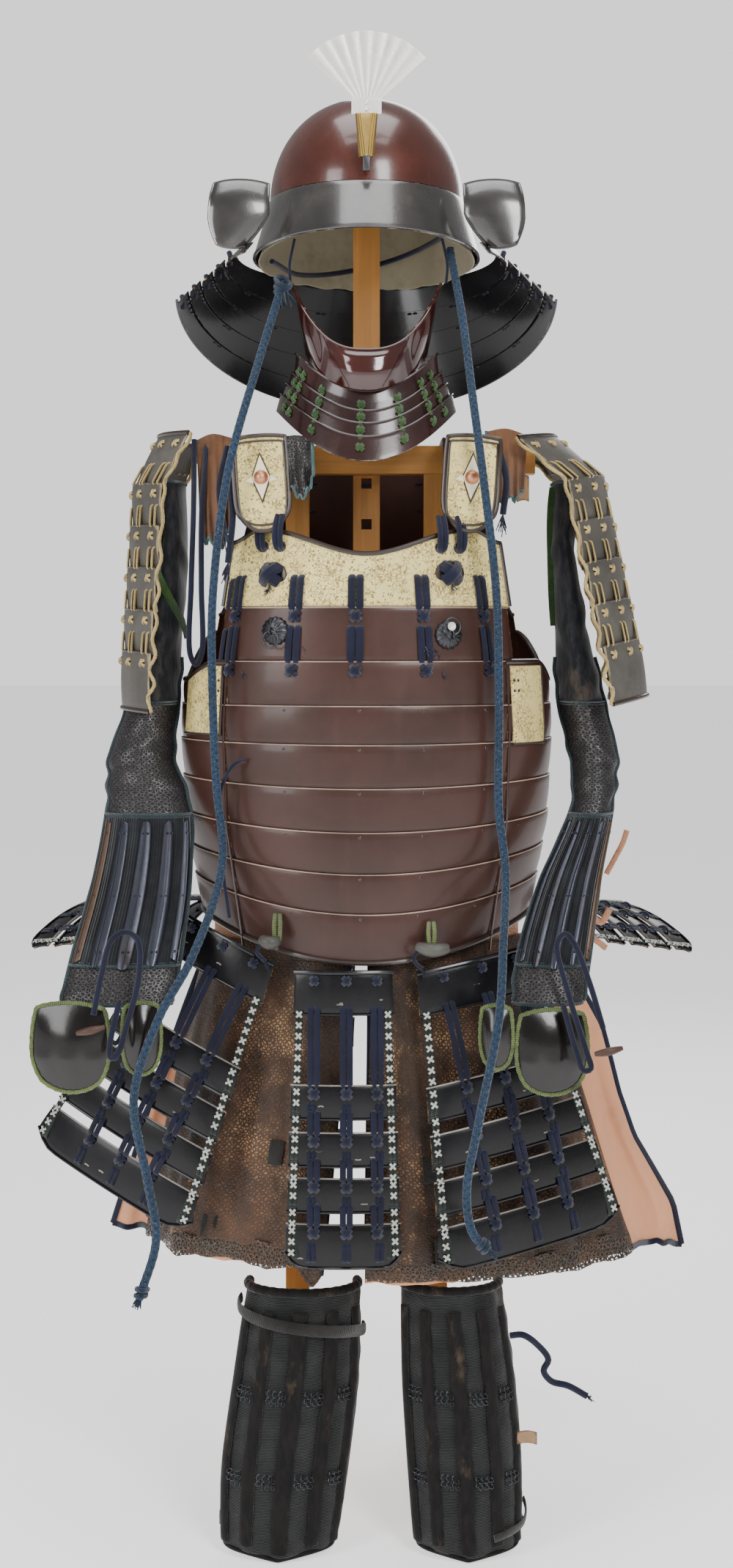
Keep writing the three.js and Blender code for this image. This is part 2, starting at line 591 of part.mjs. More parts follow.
function buildBody() {
  const chestTop = (degrees) => {
    const x = Math.abs(Math.sin(rad(degrees))) / Math.sin(rad(54));
    return 1068 + 27 * ease(x / 0.78) - 13 * ease((x - 0.8) / 0.2);
  };
  const chest = (u, v) => {
    const degrees = mix(-54, 54, u);
    return bodyPoint(degrees, mix(chestTop(degrees), 1013, v), 1);
  };
  add("chest_plate", wall(chest, PLATE, 12, 1), FINISH.leather);
  const upper = (u, v) => bodyPoint(mix(-52, 52, u), mix(1012.3, 958, v), mix(1.8, 0.8, v));
  add("upper_plate", wall(upper, PLATE, 10, 1), FINISH.russet);
  add("front_lames", lameWall(-FRONT_HALF, FRONT_HALF, 8, () => LAME_TOPS[0]), FINISH.russet);

  const armhole = {
    left: (d) => 953 - 20 * ease((d - 52) / 26) + 52 * ease((d - 96) / 22),
    right: (d) => 953 - 20 * ease((d - 66) / 20) + 52 * ease((d - 96) / 22),
  };
  const first = FRONT_HALF + 0.25;
  add("side_plate_left", lameWall(-BACK_START + 0.25, -first, 4, (d) => armhole.left(-d)), FINISH.russet);
  add("side_plate_right", lameWall(first, BACK_START - 0.25, 4, (d) => armhole.right(d)), FINISH.russet);
  const backTop = (degrees) => {
    const off = Math.abs(degrees - 180);
    return 1180 - 175 * ease((off - 44) / 17);
  };
  const back = lameWall(BACK_START, 360 - BACK_START, 10, backTop);
  add("back_plate", back, FINISH.russet);

  const strapLine = [
    { y: 84, z: 1186 }, { y: 62, z: 1195 }, { y: 26, z: 1198.5 }, { y: -26, z: 1198.5 },
    { y: -66, z: 1195 }, { y: -90, z: 1180 }, { y: -98, z: 1152 }, { y: -101, z: 1124 },
  ];
  for (const [side, sign] of Object.entries(SIDES)) {
    const band = (u, v) => {
      const { y, z } = rowAlong(strapLine, 1 - v);
      return vec(sign * 112 + mix(-27, 27, 1 - u), y, z);
    };
    add(`shoulder_strap_${side}`, wall(band, 3, 2, 9), FINISH.russet);
    const plate = roundPlate(60, 104, 3, { round: 0.5, bulge: 5, cells: 4 });
    const diamond = new THREE.Shape();
    diamond.moveTo(0, -26).lineTo(10, 0).lineTo(0, 26).lineTo(-10, 0);
    const washer = new THREE.ExtrudeGeometry(diamond, { depth: 3, bevelEnabled: false });
    washer.rotateX(Math.PI / 2).translate(0, -4, 5);
    const rivet = new THREE.SphereGeometry(8, 8, 5).translate(0, -6, 5);
    const end = placed(joined(plate, washer, rivet), { x: sign * 112, y: -111, z: 1145, splay: 7, swing: -sign * 4 });
    add(`strap_plate_${side}`, end, FINISH.leather);
  }

  // Rosette bosses on the upper plate. A swivel ring hangs in each one's staple; the right ring is
  // turned up.
  for (const { side, degrees, z, up } of BOSSES) {
    const seat = bodyPoint(degrees, z, 3);
    const place = { x: seat.x, y: seat.y, z: seat.z, turn: bodyFacing(degrees, z) };
    const dome = turned([[0, 0], [15, 0], [14, 3.5], [9, 7], [4, 8.5], [0, 8.8]], 12).rotateX(Math.PI / 2);
    const staple = new THREE.TorusGeometry(RING.staple, 1, 6, 10).rotateY(Math.PI / 2);
    staple.translate(0, -RING.reach, 0);
    add(`boss_${side}`, placed(joined(dome, staple), place), FINISH.iron);
    const ring = new THREE.TorusGeometry(RING.radius, RING.wire / 2, 6, 12).rotateX(Math.PI / 2);
    ring.translate(0, -RING.reach, up ? RING.radius : -RING.radius);
    add(`ring_${side}`, placed(ring, place), FINISH.iron);
  }
}

// ---------- Laced panels ----------

// Lames hung one below another by cords, in a frame of its own: x across, the face to -y, and the
// top edge at z = 0.
function lacedPanel({ top, foot, rows, share, bend, columns }) {
  const total = rows.at(-1).drop + rows.at(-1).height;
  const widthAt = (drop) => mix(top, foot, drop / total);
  const depthAt = (x, drop) => bend * ((2 * x) / widthAt(drop)) ** 2;
  const parts = rows.map(({ drop, height }) =>
    wall((u, v) => {
      const down = drop + v * height;
      const x = (u - 0.5) * widthAt(down);
      return vec(x, depthAt(x, down) + 1.5 * v, -down * share);
    }, PLATE, 3, 1),
  );
  rows.slice(1).forEach((row, k) => {
    const above = rows[k].drop + rows[k].height;
    for (const column of columns) {
      const x = column * widthAt(above);
      const y = depthAt(x, above);
      const low = -(row.drop + 9) * share;
      const high = -(above - 9) * share;
      parts.push(box([x - 5, y - 1.5, low], [x + 5, y + 2.5, high]));
    }
  });
  return joined(...parts);
}

function buildTassets() {
  for (const { name, top, foot, share, ...place } of TASSETS) {
    const panel = lacedPanel({ top, foot, share, rows: TASSET_ROWS, bend: 9, columns: [-0.36, 0.36] });
    add(`tasset_${name}`, placed(panel, place), FINISH.black);
  }
}

// Shoulder guards: boards of overlapping lames bent round the arm, the top one leaning inwards.
function buildShoulderGuards() {
  const rows = steppedRows(GUARD_SEAMS, 2, 2.6);
  const length = GUARD_SEAMS.at(-1);
  const board = (lean, u, v, behind) => {
    const { at: drop, out: proud } = alongRows(rows, v);
    const out = behind ?? proud;
    const s = 2 * u - 1;
    const inwards = lean * clamp(1 - drop / GUARD_SEAMS[1], 0, 1);
    return vec((s * mix(176, 196, drop / length)) / 2, 40 * s * s + inwards - out, -drop);
  };
  const hang = {
    left: { x: -253.5, y: 0, z: 1206, turn: -90, splay: 3.6, lean: 26 },
    right: { x: 250, y: -4, z: 1214, turn: 84, splay: 12, lean: 44 },
  };
  for (const side of Object.keys(SIDES)) {
    const { lean, ...place } = hang[side];
    const front = (u, v) => board(lean, u, v);
    const lames = wall(front, PLATE, 8, rows.length - 1, false, (u, v) => board(lean, u, v, -PLATE));
    add(`shoulder_guard_${side}`, placed(lames, place), FINISH.greyLeather);
  }
}

// ---------- Sleeves ----------

// A point on a sleeve or shin guard: azimuth 0 is the front, v runs down it, out moves it off the cloth.
function limbPoint(table, degrees, v, out = 0) {
  const { x, y, z, hx, hy } = rowAlong(table, v);
  const a = rad(degrees);
  return vec(x + (hx + out) * Math.sin(a), y - (hy + out) * Math.cos(a), z);
}

// Long narrow splints side by side on one backing, raised between seams.
function splints(table, { from, to, start, end, count, lift }) {
  const at = (u, v) => {
    const ridge = Math.round(u * count * 2) % 2;
    return limbPoint(table, mix(from, to, u), mix(start, end, v), lift + 1.4 * ridge + 1.8);
  };
  return wall(at, 1.8, count * 2, 4);
}

function buildSleeves() {
  for (const side of Object.keys(SIDES)) {
    const table = SLEEVES[side];
    add(`sleeve_${side}`, wall((u, v) => limbPoint(table, 360 * u, v), CLOTH, 16, 8, true), FINISH.darkCloth);
    const guard = splints(table, { from: -74, to: 74, start: 0.645, end: 0.9, count: 5, lift: 2.4 });
    add(`forearm_splints_${side}`, guard, FINISH.iron);
    const { plate, thumb, web } = HANDS[side];
    const parts = [plate, thumb].map(({ wide, tall, ...place }) =>
      placed(roundPlate(wide, tall, 2, { round: 0.55, bulge: 11, cells: 4 }), place),
    );
    const { x, y, z, wide, tall } = web;
    parts.push(box([x - wide / 2, y - 6, z - tall / 2], [x + wide / 2, y + 6, z + tall / 2]));
    add(`hand_plate_${side}`, joined(...parts), FINISH.black);
  }
}

// ---------- Shin guards ----------

function buildShins() {
  for (const side of Object.keys(SIDES)) {
    const table = SHINS[side];
    const gutter = (u, v) => limbPoint(table, mix(-SHIN_OPEN, SHIN_OPEN, u), v);
    add(`shin_guard_${side}`, wall(gutter, 4, 12, 5), FINISH.shinCloth);
    const rods = splints(table, { from: -80, to: 80, start: 0.09, end: 0.96, count: 5, lift: 1.2 });
    add(`shin_splints_${side}`, rods, FINISH.darkCloth);
  }
}

// ---------- Thigh guard ----------

// A point of the hanging apron. across runs from the slit (0) to the outer edge (1), in lies behind it.
function apronPoint({ waist, hem, slit, edge, hemZ }, across, v, inside = 0) {
  const sway = v ** 0.8;
  const degrees = mix(mix(slit[0], slit[1], v), mix(edge[0], edge[1], v), across);
  const a = rad(degrees);
  const fold = 5 * v * Math.sin(across * 15) - inside;
  const x = (mix(waist[0], hem[0], sway) + fold) * Math.sin(a);
  const y = -(mix(waist[1], hem[1], sway) + fold) * Math.cos(a);
  return vec(x, y, mix(WAIST_Z, hemZ, v));
}

function buildApron() {
  const linings = [];
  for (const [side, sign] of Object.entries(SIDES)) {
    const shape = APRON[side];
    const order = (u) => (sign > 0 ? u : 1 - u);
    add(`apron_mail_${side}`, wall((u, v) => apronPoint(shape, order(u), v), 2, 10, 4), FINISH.mail);
    const lining = (u, v) => {
      const across = order(u) * 1.3;
      const p = apronPoint(shape, Math.min(across, 1), v, 3.6);
      const spread = Math.max(across - 1, 0) / 0.3;
      const reach = spread * mix(6, shape.flap, v);
      return p.add(vec(sign * 0.82 * reach, 0.55 * reach + 9 * v * Math.sin(spread * 4), -6 * spread * v));
    };
    linings.push(wall(lining, 1.2, 13, 4));
  }
  const band = (u, v) => {
    const a = rad(mix(-92, 92, u));
    return vec(169.6 * Math.sin(a), -121.6 * Math.cos(a), mix(WAIST_Z + 16, WAIST_Z - 3, v));
  };
  linings.push(wall(band, 3.4, 12, 1));
  add("apron_lining", joined(...linings), FINISH.peach);
}

// ---------- Cords ----------

function buildCords() {
  for (const [name, { width, steps, route }] of Object.entries(CORDS)) {
    const colour = name.startsWith("helmet") ? FINISH.blueCord : FINISH.navyCord;
    add(name, rod(route, width, steps), colour);
  }
}

buildStand();
buildHelmet();
buildMask();
buildBody();
buildTassets();
buildShoulderGuards();
buildSleeves();
buildShins();
buildApron();
buildCords();

export default armour;
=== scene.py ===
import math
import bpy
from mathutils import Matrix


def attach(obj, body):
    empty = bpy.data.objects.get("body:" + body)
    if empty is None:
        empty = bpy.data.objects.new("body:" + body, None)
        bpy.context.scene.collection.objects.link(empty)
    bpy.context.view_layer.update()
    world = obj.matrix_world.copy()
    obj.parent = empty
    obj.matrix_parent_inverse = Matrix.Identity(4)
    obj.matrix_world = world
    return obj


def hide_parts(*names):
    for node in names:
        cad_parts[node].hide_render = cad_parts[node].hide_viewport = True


bl_info = {
    "name": "Samurai armour",
    "version": (1, 0, 0),
    "blender": (4, 5, 0),
    "location": "View3D > Sidebar > Armour",
    "description": "Builds the looks of a suit of samurai armour round its packed solids",
    "category": "Object",
}

import bmesh
import bpy
import numpy as np
from bpy.props import FloatProperty, FloatVectorProperty, IntProperty, PointerProperty
from mathutils import Vector

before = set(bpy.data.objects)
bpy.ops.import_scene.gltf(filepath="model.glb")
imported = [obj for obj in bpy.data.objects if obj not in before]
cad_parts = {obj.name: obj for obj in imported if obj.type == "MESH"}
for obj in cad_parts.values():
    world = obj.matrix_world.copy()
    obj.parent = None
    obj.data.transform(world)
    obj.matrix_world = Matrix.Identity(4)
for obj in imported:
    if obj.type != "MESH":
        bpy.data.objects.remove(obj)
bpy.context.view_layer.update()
SUIT = "armour"
SIDES = {"left": -1, "right": 1}
MM = 0.001
SHARP_DEGREES = 38
MERGE_M = 2e-6
LEAST_AREA_M2 = 1e-13

# ---------- Sizes shared with the solids, in millimetres ----------

BODY_Z = [600, 660, 780, 880, 960, 1015, 1095, 1200]
BODY_W = [170, 178, 200, 205, 200, 190, 176, 158]
BODY_D = [145, 148, 151, 152, 150, 148, 130, 114]
LAME_TOPS = [955, 908, 867, 821, 775, 731, 689, 636]
FRONT_HALF = 47
BACK_START = 118.5
BOWL = {"x": 108, "y": 128, "rise": 113, "rim": 1467}
HELM_Y = 5
FACE_Y = -35
BOSSES = {"left": (-29.2, 987, -1), "right": (25.8, 983, 1)}
RING_REACH = 11.6
WAIST_Z = 652

# name: x, y, z of the top edge's middle, turn, swing, splay, top width, foot width, share of length
TASSETS = {
    "centre": (-24, -158, 630, 0, 0, 5, 103, 122, 0.97),
    "left": (-152, -122, 662, -24, -24, 9, 126, 208, 0.95),
    "right": (116, -138, 640, 20, 10, 7, 132, 212, 0.98),
    "side_left": (-184, 62, 668, -118, -16, 84, 118, 150, 0.68),
    "side_right": (180, 64, 668, 121, 16, 82, 118, 150, 0.68),
    "back_left": (-62, 160, 640, 192, 3, 8, 108, 124, 0.97),
    "back_right": (62, 160, 640, 168, -3, 8, 108, 124, 0.97),
}
TASSET_ROWS = [(0, 45), (120, 36), (170, 36), (218, 36), (266, 46)]
TASSET_COLUMNS = (-0.3, 0.03, 0.34)
GUARD_SEAMS = [0, 56, 102, 148, 194, 240, 306]
GUARDS = {"left": (-253.5, 0, 1206, -90, 3.6, 26), "right": (250, -4, 1214, 84, 12, 44)}

# z, x, y, half width, half depth down each limb
LIMB_KEYS = ("z", "x", "y", "hx", "hy")
SLEEVES = {
    "left": [
        (1152, -217, 0, 14, 44), (1080, -217, 0, 16, 52), (990, -226, -2, 20, 50),
        (915, -236, -12, 26, 42), (850, -247, -36, 34, 34), (795, -236, -74, 44, 23),
        (722, -239, -116, 50, 20), (655, -249, -160, 55, 17), (604, -257, -192, 56, 15),
    ],
    "right": [
        (1152, 222, 0, 14, 44), (1080, 219, 0, 14, 52), (990, 229, -2, 18, 50),
        (915, 238, -12, 24, 42), (850, 250, -34, 24, 34), (795, 245, -66, 21, 25),
        (722, 217, -112, 30, 21), (655, 197, -156, 36, 18), (604, 187, -186, 35, 16),
    ],
}
SHINS = {
    "left": [(288, -68, -92, 60, 40), (190, -76, -88, 67, 46), (90, -88, -88, 68, 44), (0, -94, -92, 62, 38)],
    "right": [(290, 90, -92, 53, 40), (190, 98, -88, 60, 46), (90, 105, -88, 61, 44), (0, 108, -92, 57, 38)],
}
SHIN_OPEN = 104
# x, y, z of the middle, width, height, turn
HANDS = {
    "left": {"plate": (-302, -209, 562, 84, 92, -10), "thumb": (-229, -214, 572, 40, 74, 12)},
    "right": {"plate": (190, -203, 556, 76, 88, 8), "thumb": (133, -206, 572, 34, 66, -12)},
}
# half width and half depth of the oval at the waist, and of each side's oval at the hem; slit and outer edge in
# degrees at the waist and at the hem; height of the hem; how far the lining's flap stands out
APRON_WAIST = (172, 124)
APRON = {
    "left": {"hem": (242, 150), "slit": (-5, -11), "edge": (-88, -93), "foot": 312, "flap": 62},
    "right": {"hem": (298, 150), "slit": (0.8, -0.4), "edge": (78, 80), "foot": 298, "flap": 84},
}
# width, then the points of each cord's middle line
CORDS = {
    "helmet_cord_left": (8.6, [
        (-91, -62, 1368), (-117, -105, 1271), (-146, -136, 1156), (-162, -140, 1024), (-163, -132, 925),
        (-159, -130, 825), (-152, -140, 742), (-178, -205, 654), (-210, -238, 595), (-234, -240, 516),
        (-221, -238, 436), (-212, -236, 373), (-229, -236, 314),
    ]),
    "helmet_cord_right": (8.6, [
        (91, -60, 1405), (104, -90, 1320), (112, -122, 1242), (124, -144, 1140), (137, -140, 1024),
        (140, -134, 908), (140, -130, 800), (146, -146, 735), (140, -204, 669), (133, -240, 596),
        (113, -240, 493), (101, -234, 420), (107, -233, 380), (123, -230, 361),
    ]),
    "shoulder_cord": (6, [
        (-188, -62, 1196), (-187, -84, 1118), (-189, -90, 1037), (-190, -90, 962), (-184, -90, 951),
        (-178, -90, 962), (-178, -90, 1037), (-178, -84, 1118), (-174, -62, 1196),
    ]),
    "side_tie": (4, [
        (-129, -125, 850), (-140, -130, 846), (-153, -124, 824), (-157, -118, 785), (-154, -117, 739),
        (-146, -118, 682),
    ]),
    "shin_tie": (7, [
        (153, -120, 238), (166, -124, 240), (182, -124, 229), (193, -124, 214), (188, -124, 202),
        (196, -124, 191), (214, -124, 186), (234, -124, 175),
    ]),
    "wrist_loop_left": (6, [
        (-275, -236, 600), (-268, -226, 640), (-259, -214, 673), (-246, -211, 680), (-233, -214, 672),
        (-231, -222, 636), (-242, -237, 588), (-250, -243, 562), (-257, -244, 558), (-258, -241, 570),
        (-250, -231, 612),
    ]),
    "wrist_loop_right": (6, [
        (240, -222, 584), (227, -213, 629), (212, -205, 668), (203, -203, 677), (195, -206, 668),
        (206, -220, 615), (222, -234, 562), (226, -237, 546), (219, -237, 544), (212, -231, 562),
        (200, -219, 606),
    ]),
}


# ---------- Settings a user may change ----------


def colour(title, description, default):
    return FloatVectorProperty(
        name=title, description=description, subtype="COLOR", size=3, min=0, max=1, default=default
    )


class ArmourColours(bpy.types.PropertyGroup):
    russet: colour("Russet lacquer", "Lacquer of the body plates", (0.046, 0.0185, 0.0135))
    bowl: colour("Bowl lacquer", "Lacquer of the helmet bowl", (0.068, 0.0165, 0.0105))
    black: colour("Black lacquer", "Lacquer of tassets and neck guard", (0.006, 0.006, 0.008))
    mask: colour("Mask lacquer", "Lacquer of the mask and throat guard", (0.04, 0.008, 0.006))
    leather: colour("Pale leather", "Stencilled leather of the chest", (0.8, 0.66, 0.27))
    blue: colour("Helmet cord", "Round blue cord", (0.006, 0.021, 0.048))
    navy: colour("Lacing", "Navy lacing of the plates", (0.006, 0.0075, 0.024))
    cream: colour("Shoulder lacing", "Cream lacing of the shoulder guards", (0.55, 0.4, 0.15))
    green: colour("Green edging", "Wrapped edging of the hands", (0.12, 0.16, 0.055))
    peach: colour("Lining", "Peach lining of the apron", (0.75, 0.36, 0.2))
    wood: colour("Wood", "Softwood of the stand", (0.5, 0.22, 0.045))


class ArmourSizes(bpy.types.PropertyGroup):
    link: FloatProperty(
        name="Mail link", description="Width of one ring of mail", default=0.0062, min=0.001, unit="LENGTH"
    )
    strands: IntProperty(name="Cord strands", description="Strands round the helmet cord", default=8, min=4)


# ---------- Curves and forms ----------


def mix(a, b, t):
    return a + (b - a) * t


def ease(t):
    t = np.clip(t, 0, 1)
    return t * t * (3 - 2 * t)


def unit(v):
    """Vectors made one long."""
    length = np.linalg.norm(v, axis=-1, keepdims=True)
    return v / np.maximum(length, 1e-9)


def stack(x, y, z):
    """Points from coordinates of any shapes that fit together."""
    return np.stack(np.broadcast_arrays(x, y, z), -1).astype(float)


def spline(points, steps):
    """Points along a centripetal curve through the given ones, evenly spaced."""
    p = np.array(points, float)
    p = np.vstack([2 * p[0] - p[1], p, 2 * p[-1] - p[-2]])
    out = []
    for a, b, c, d in zip(p, p[1:], p[2:], p[3:]):
        knots = np.cumsum([0] + [max(np.linalg.norm(n - m), 1e-6) ** 0.5 for m, n in ((a, b), (b, c), (c, d))])
        t = np.linspace(knots[1], knots[2], 24, endpoint=False)[:, None]
        t0, t1, t2, t3 = knots
        a1 = ((t1 - t) * a + (t - t0) * b) / (t1 - t0)
        a2 = ((t2 - t) * b + (t - t1) * c) / (t2 - t1)
        a3 = ((t3 - t) * c + (t - t2) * d) / (t3 - t2)
        b1 = ((t2 - t) * a1 + (t - t0) * a2) / (t2 - t0)
        b2 = ((t3 - t) * a2 + (t - t1) * a3) / (t3 - t1)
        out.append(((t2 - t) * b1 + (t - t1) * b2) / (t2 - t1))
    dense = np.vstack([*out, p[-2:-1]])
    along = np.concatenate([[0], np.cumsum(np.linalg.norm(np.diff(dense, axis=0), axis=1))])
    even = np.linspace(0, along[-1], steps + 1)
    return np.stack([np.interp(even, along, dense[:, k]) for k in range(3)], -1)


def limb_row(table, v):
    """Each column of a limb's table at v from 0 to 1, on a smooth curve through its rows."""
    rows = np.array(table, float)
    last = len(rows) - 1
    t = np.clip(v, 0, 1) * last
    k = np.minimum(t.astype(int), last - 1)
    f = (t - k)[..., None]
    a, b, c, d = (rows[np.clip(k + n, 0, last)] for n in (-1, 0, 1, 2))
    row = b + 0.5 * f * (c - a + f * (2 * a - 5 * b + 4 * c - d + f * (3 * (b - c) + d - a)))
    return {key: row[..., n] for n, key in enumerate(LIMB_KEYS)}


def limb_point(table, degrees, v, out=0):
    """A point on a limb's oval, out from its cloth."""
    row = limb_row(table, np.asarray(v, float))
    a = np.radians(degrees)
    return stack(row["x"] + (row["hx"] + out) * np.sin(a), row["y"] - (row["hy"] + out) * np.cos(a), row["z"])


def body_point(degrees, z, out=0):
    """A point on the body's oval at an azimuth and a height."""
    a = np.radians(degrees)
    w = np.interp(z, BODY_Z, BODY_W) + out
    d = np.interp(z, BODY_Z, BODY_D) + out
    return stack(w * np.sin(a), -d * np.cos(a), z)


def body_facing(degrees, z):
    """The outward direction of the body's oval at an azimuth."""
    a = np.radians(degrees)
    w, d = np.interp(z, BODY_Z, BODY_W), np.interp(z, BODY_Z, BODY_D)
    return unit(stack(np.sin(a) / w, -np.cos(a) / d, 0))


def seam_height(z, degrees):
    """A lame's seam rises towards the sides, more so lower down."""
    depth = np.clip((908 - z) / 272, 0, 1)
    return z + 42 * depth**1.5 * np.sin(np.radians(degrees)) ** 2


def turn_about(axis, degrees):
    """The matrix of a turn about an axis."""
    c, s = math.cos(math.radians(degrees)), math.sin(math.radians(degrees))
    rows = {
        "x": [[1, 0, 0], [0, c, -s], [0, s, c]],
        "y": [[c, 0, s], [0, 1, 0], [-s, 0, c]],
        "z": [[c, -s, 0], [s, c, 0], [0, 0, 1]],
    }
    return np.array(rows[axis])


class Place:
    """Where a piece made in its own frame stands: turned, swung and splayed, then moved."""

    def __init__(self, x=0, y=0, z=0, turn=0, swing=0, splay=0):
        self.offset = np.array([x, y, z], float)
        self.matrix = turn_about("z", turn) @ turn_about("y", -swing) @ turn_about("x", -splay)

    def __call__(self, points):
        return points @ self.matrix.T + self.offset

    def facing(self, vectors):
        return vectors @ self.matrix.T


def spread(count, length, edge):
    """Positions from 0 to 1, with two more close to each end so that an edge can be rounded."""
    near = edge / max(length, 4 * edge)
    t = np.linspace(0, 1, count + 1)
    t = t[(t > 1.5 * near) & (t < 1 - 1.5 * near)]
    return np.unique(np.concatenate([[0, 0.3 * near, near], t, [1 - near, 1 - 0.3 * near, 1]]))


def span(count, length, edge):
    """The same positions from -1 to 1."""
    return 2 * spread(count, length, edge) - 1


def turns(count):
    """Angles of a whole circle."""
    return 2 * np.pi * np.arange(count) / count


def normals(p, loop):
    """Outward direction at each point of a grid whose rows go down and columns go across."""
    if loop:
        across = np.roll(p, -1, 1) - np.roll(p, 1, 1)
    else:
        across = np.gradient(p, axis=1)
    down = np.gradient(p, axis=0) if p.shape[0] > 1 else np.zeros_like(p)
    return unit(np.cross(down, across))


def lengths(p, axis):
    """Distance along the middle row or column of a grid."""
    line = p[p.shape[0] // 2] if axis == 1 else p[:, p.shape[1] // 2]
    return np.concatenate([[0], np.cumsum(np.linalg.norm(np.diff(line, axis=0), axis=1))])


def wavy(size, pace):
    """A swell that runs along a cord."""
    return lambda k, a: 1 + size * np.cos(k * pace)


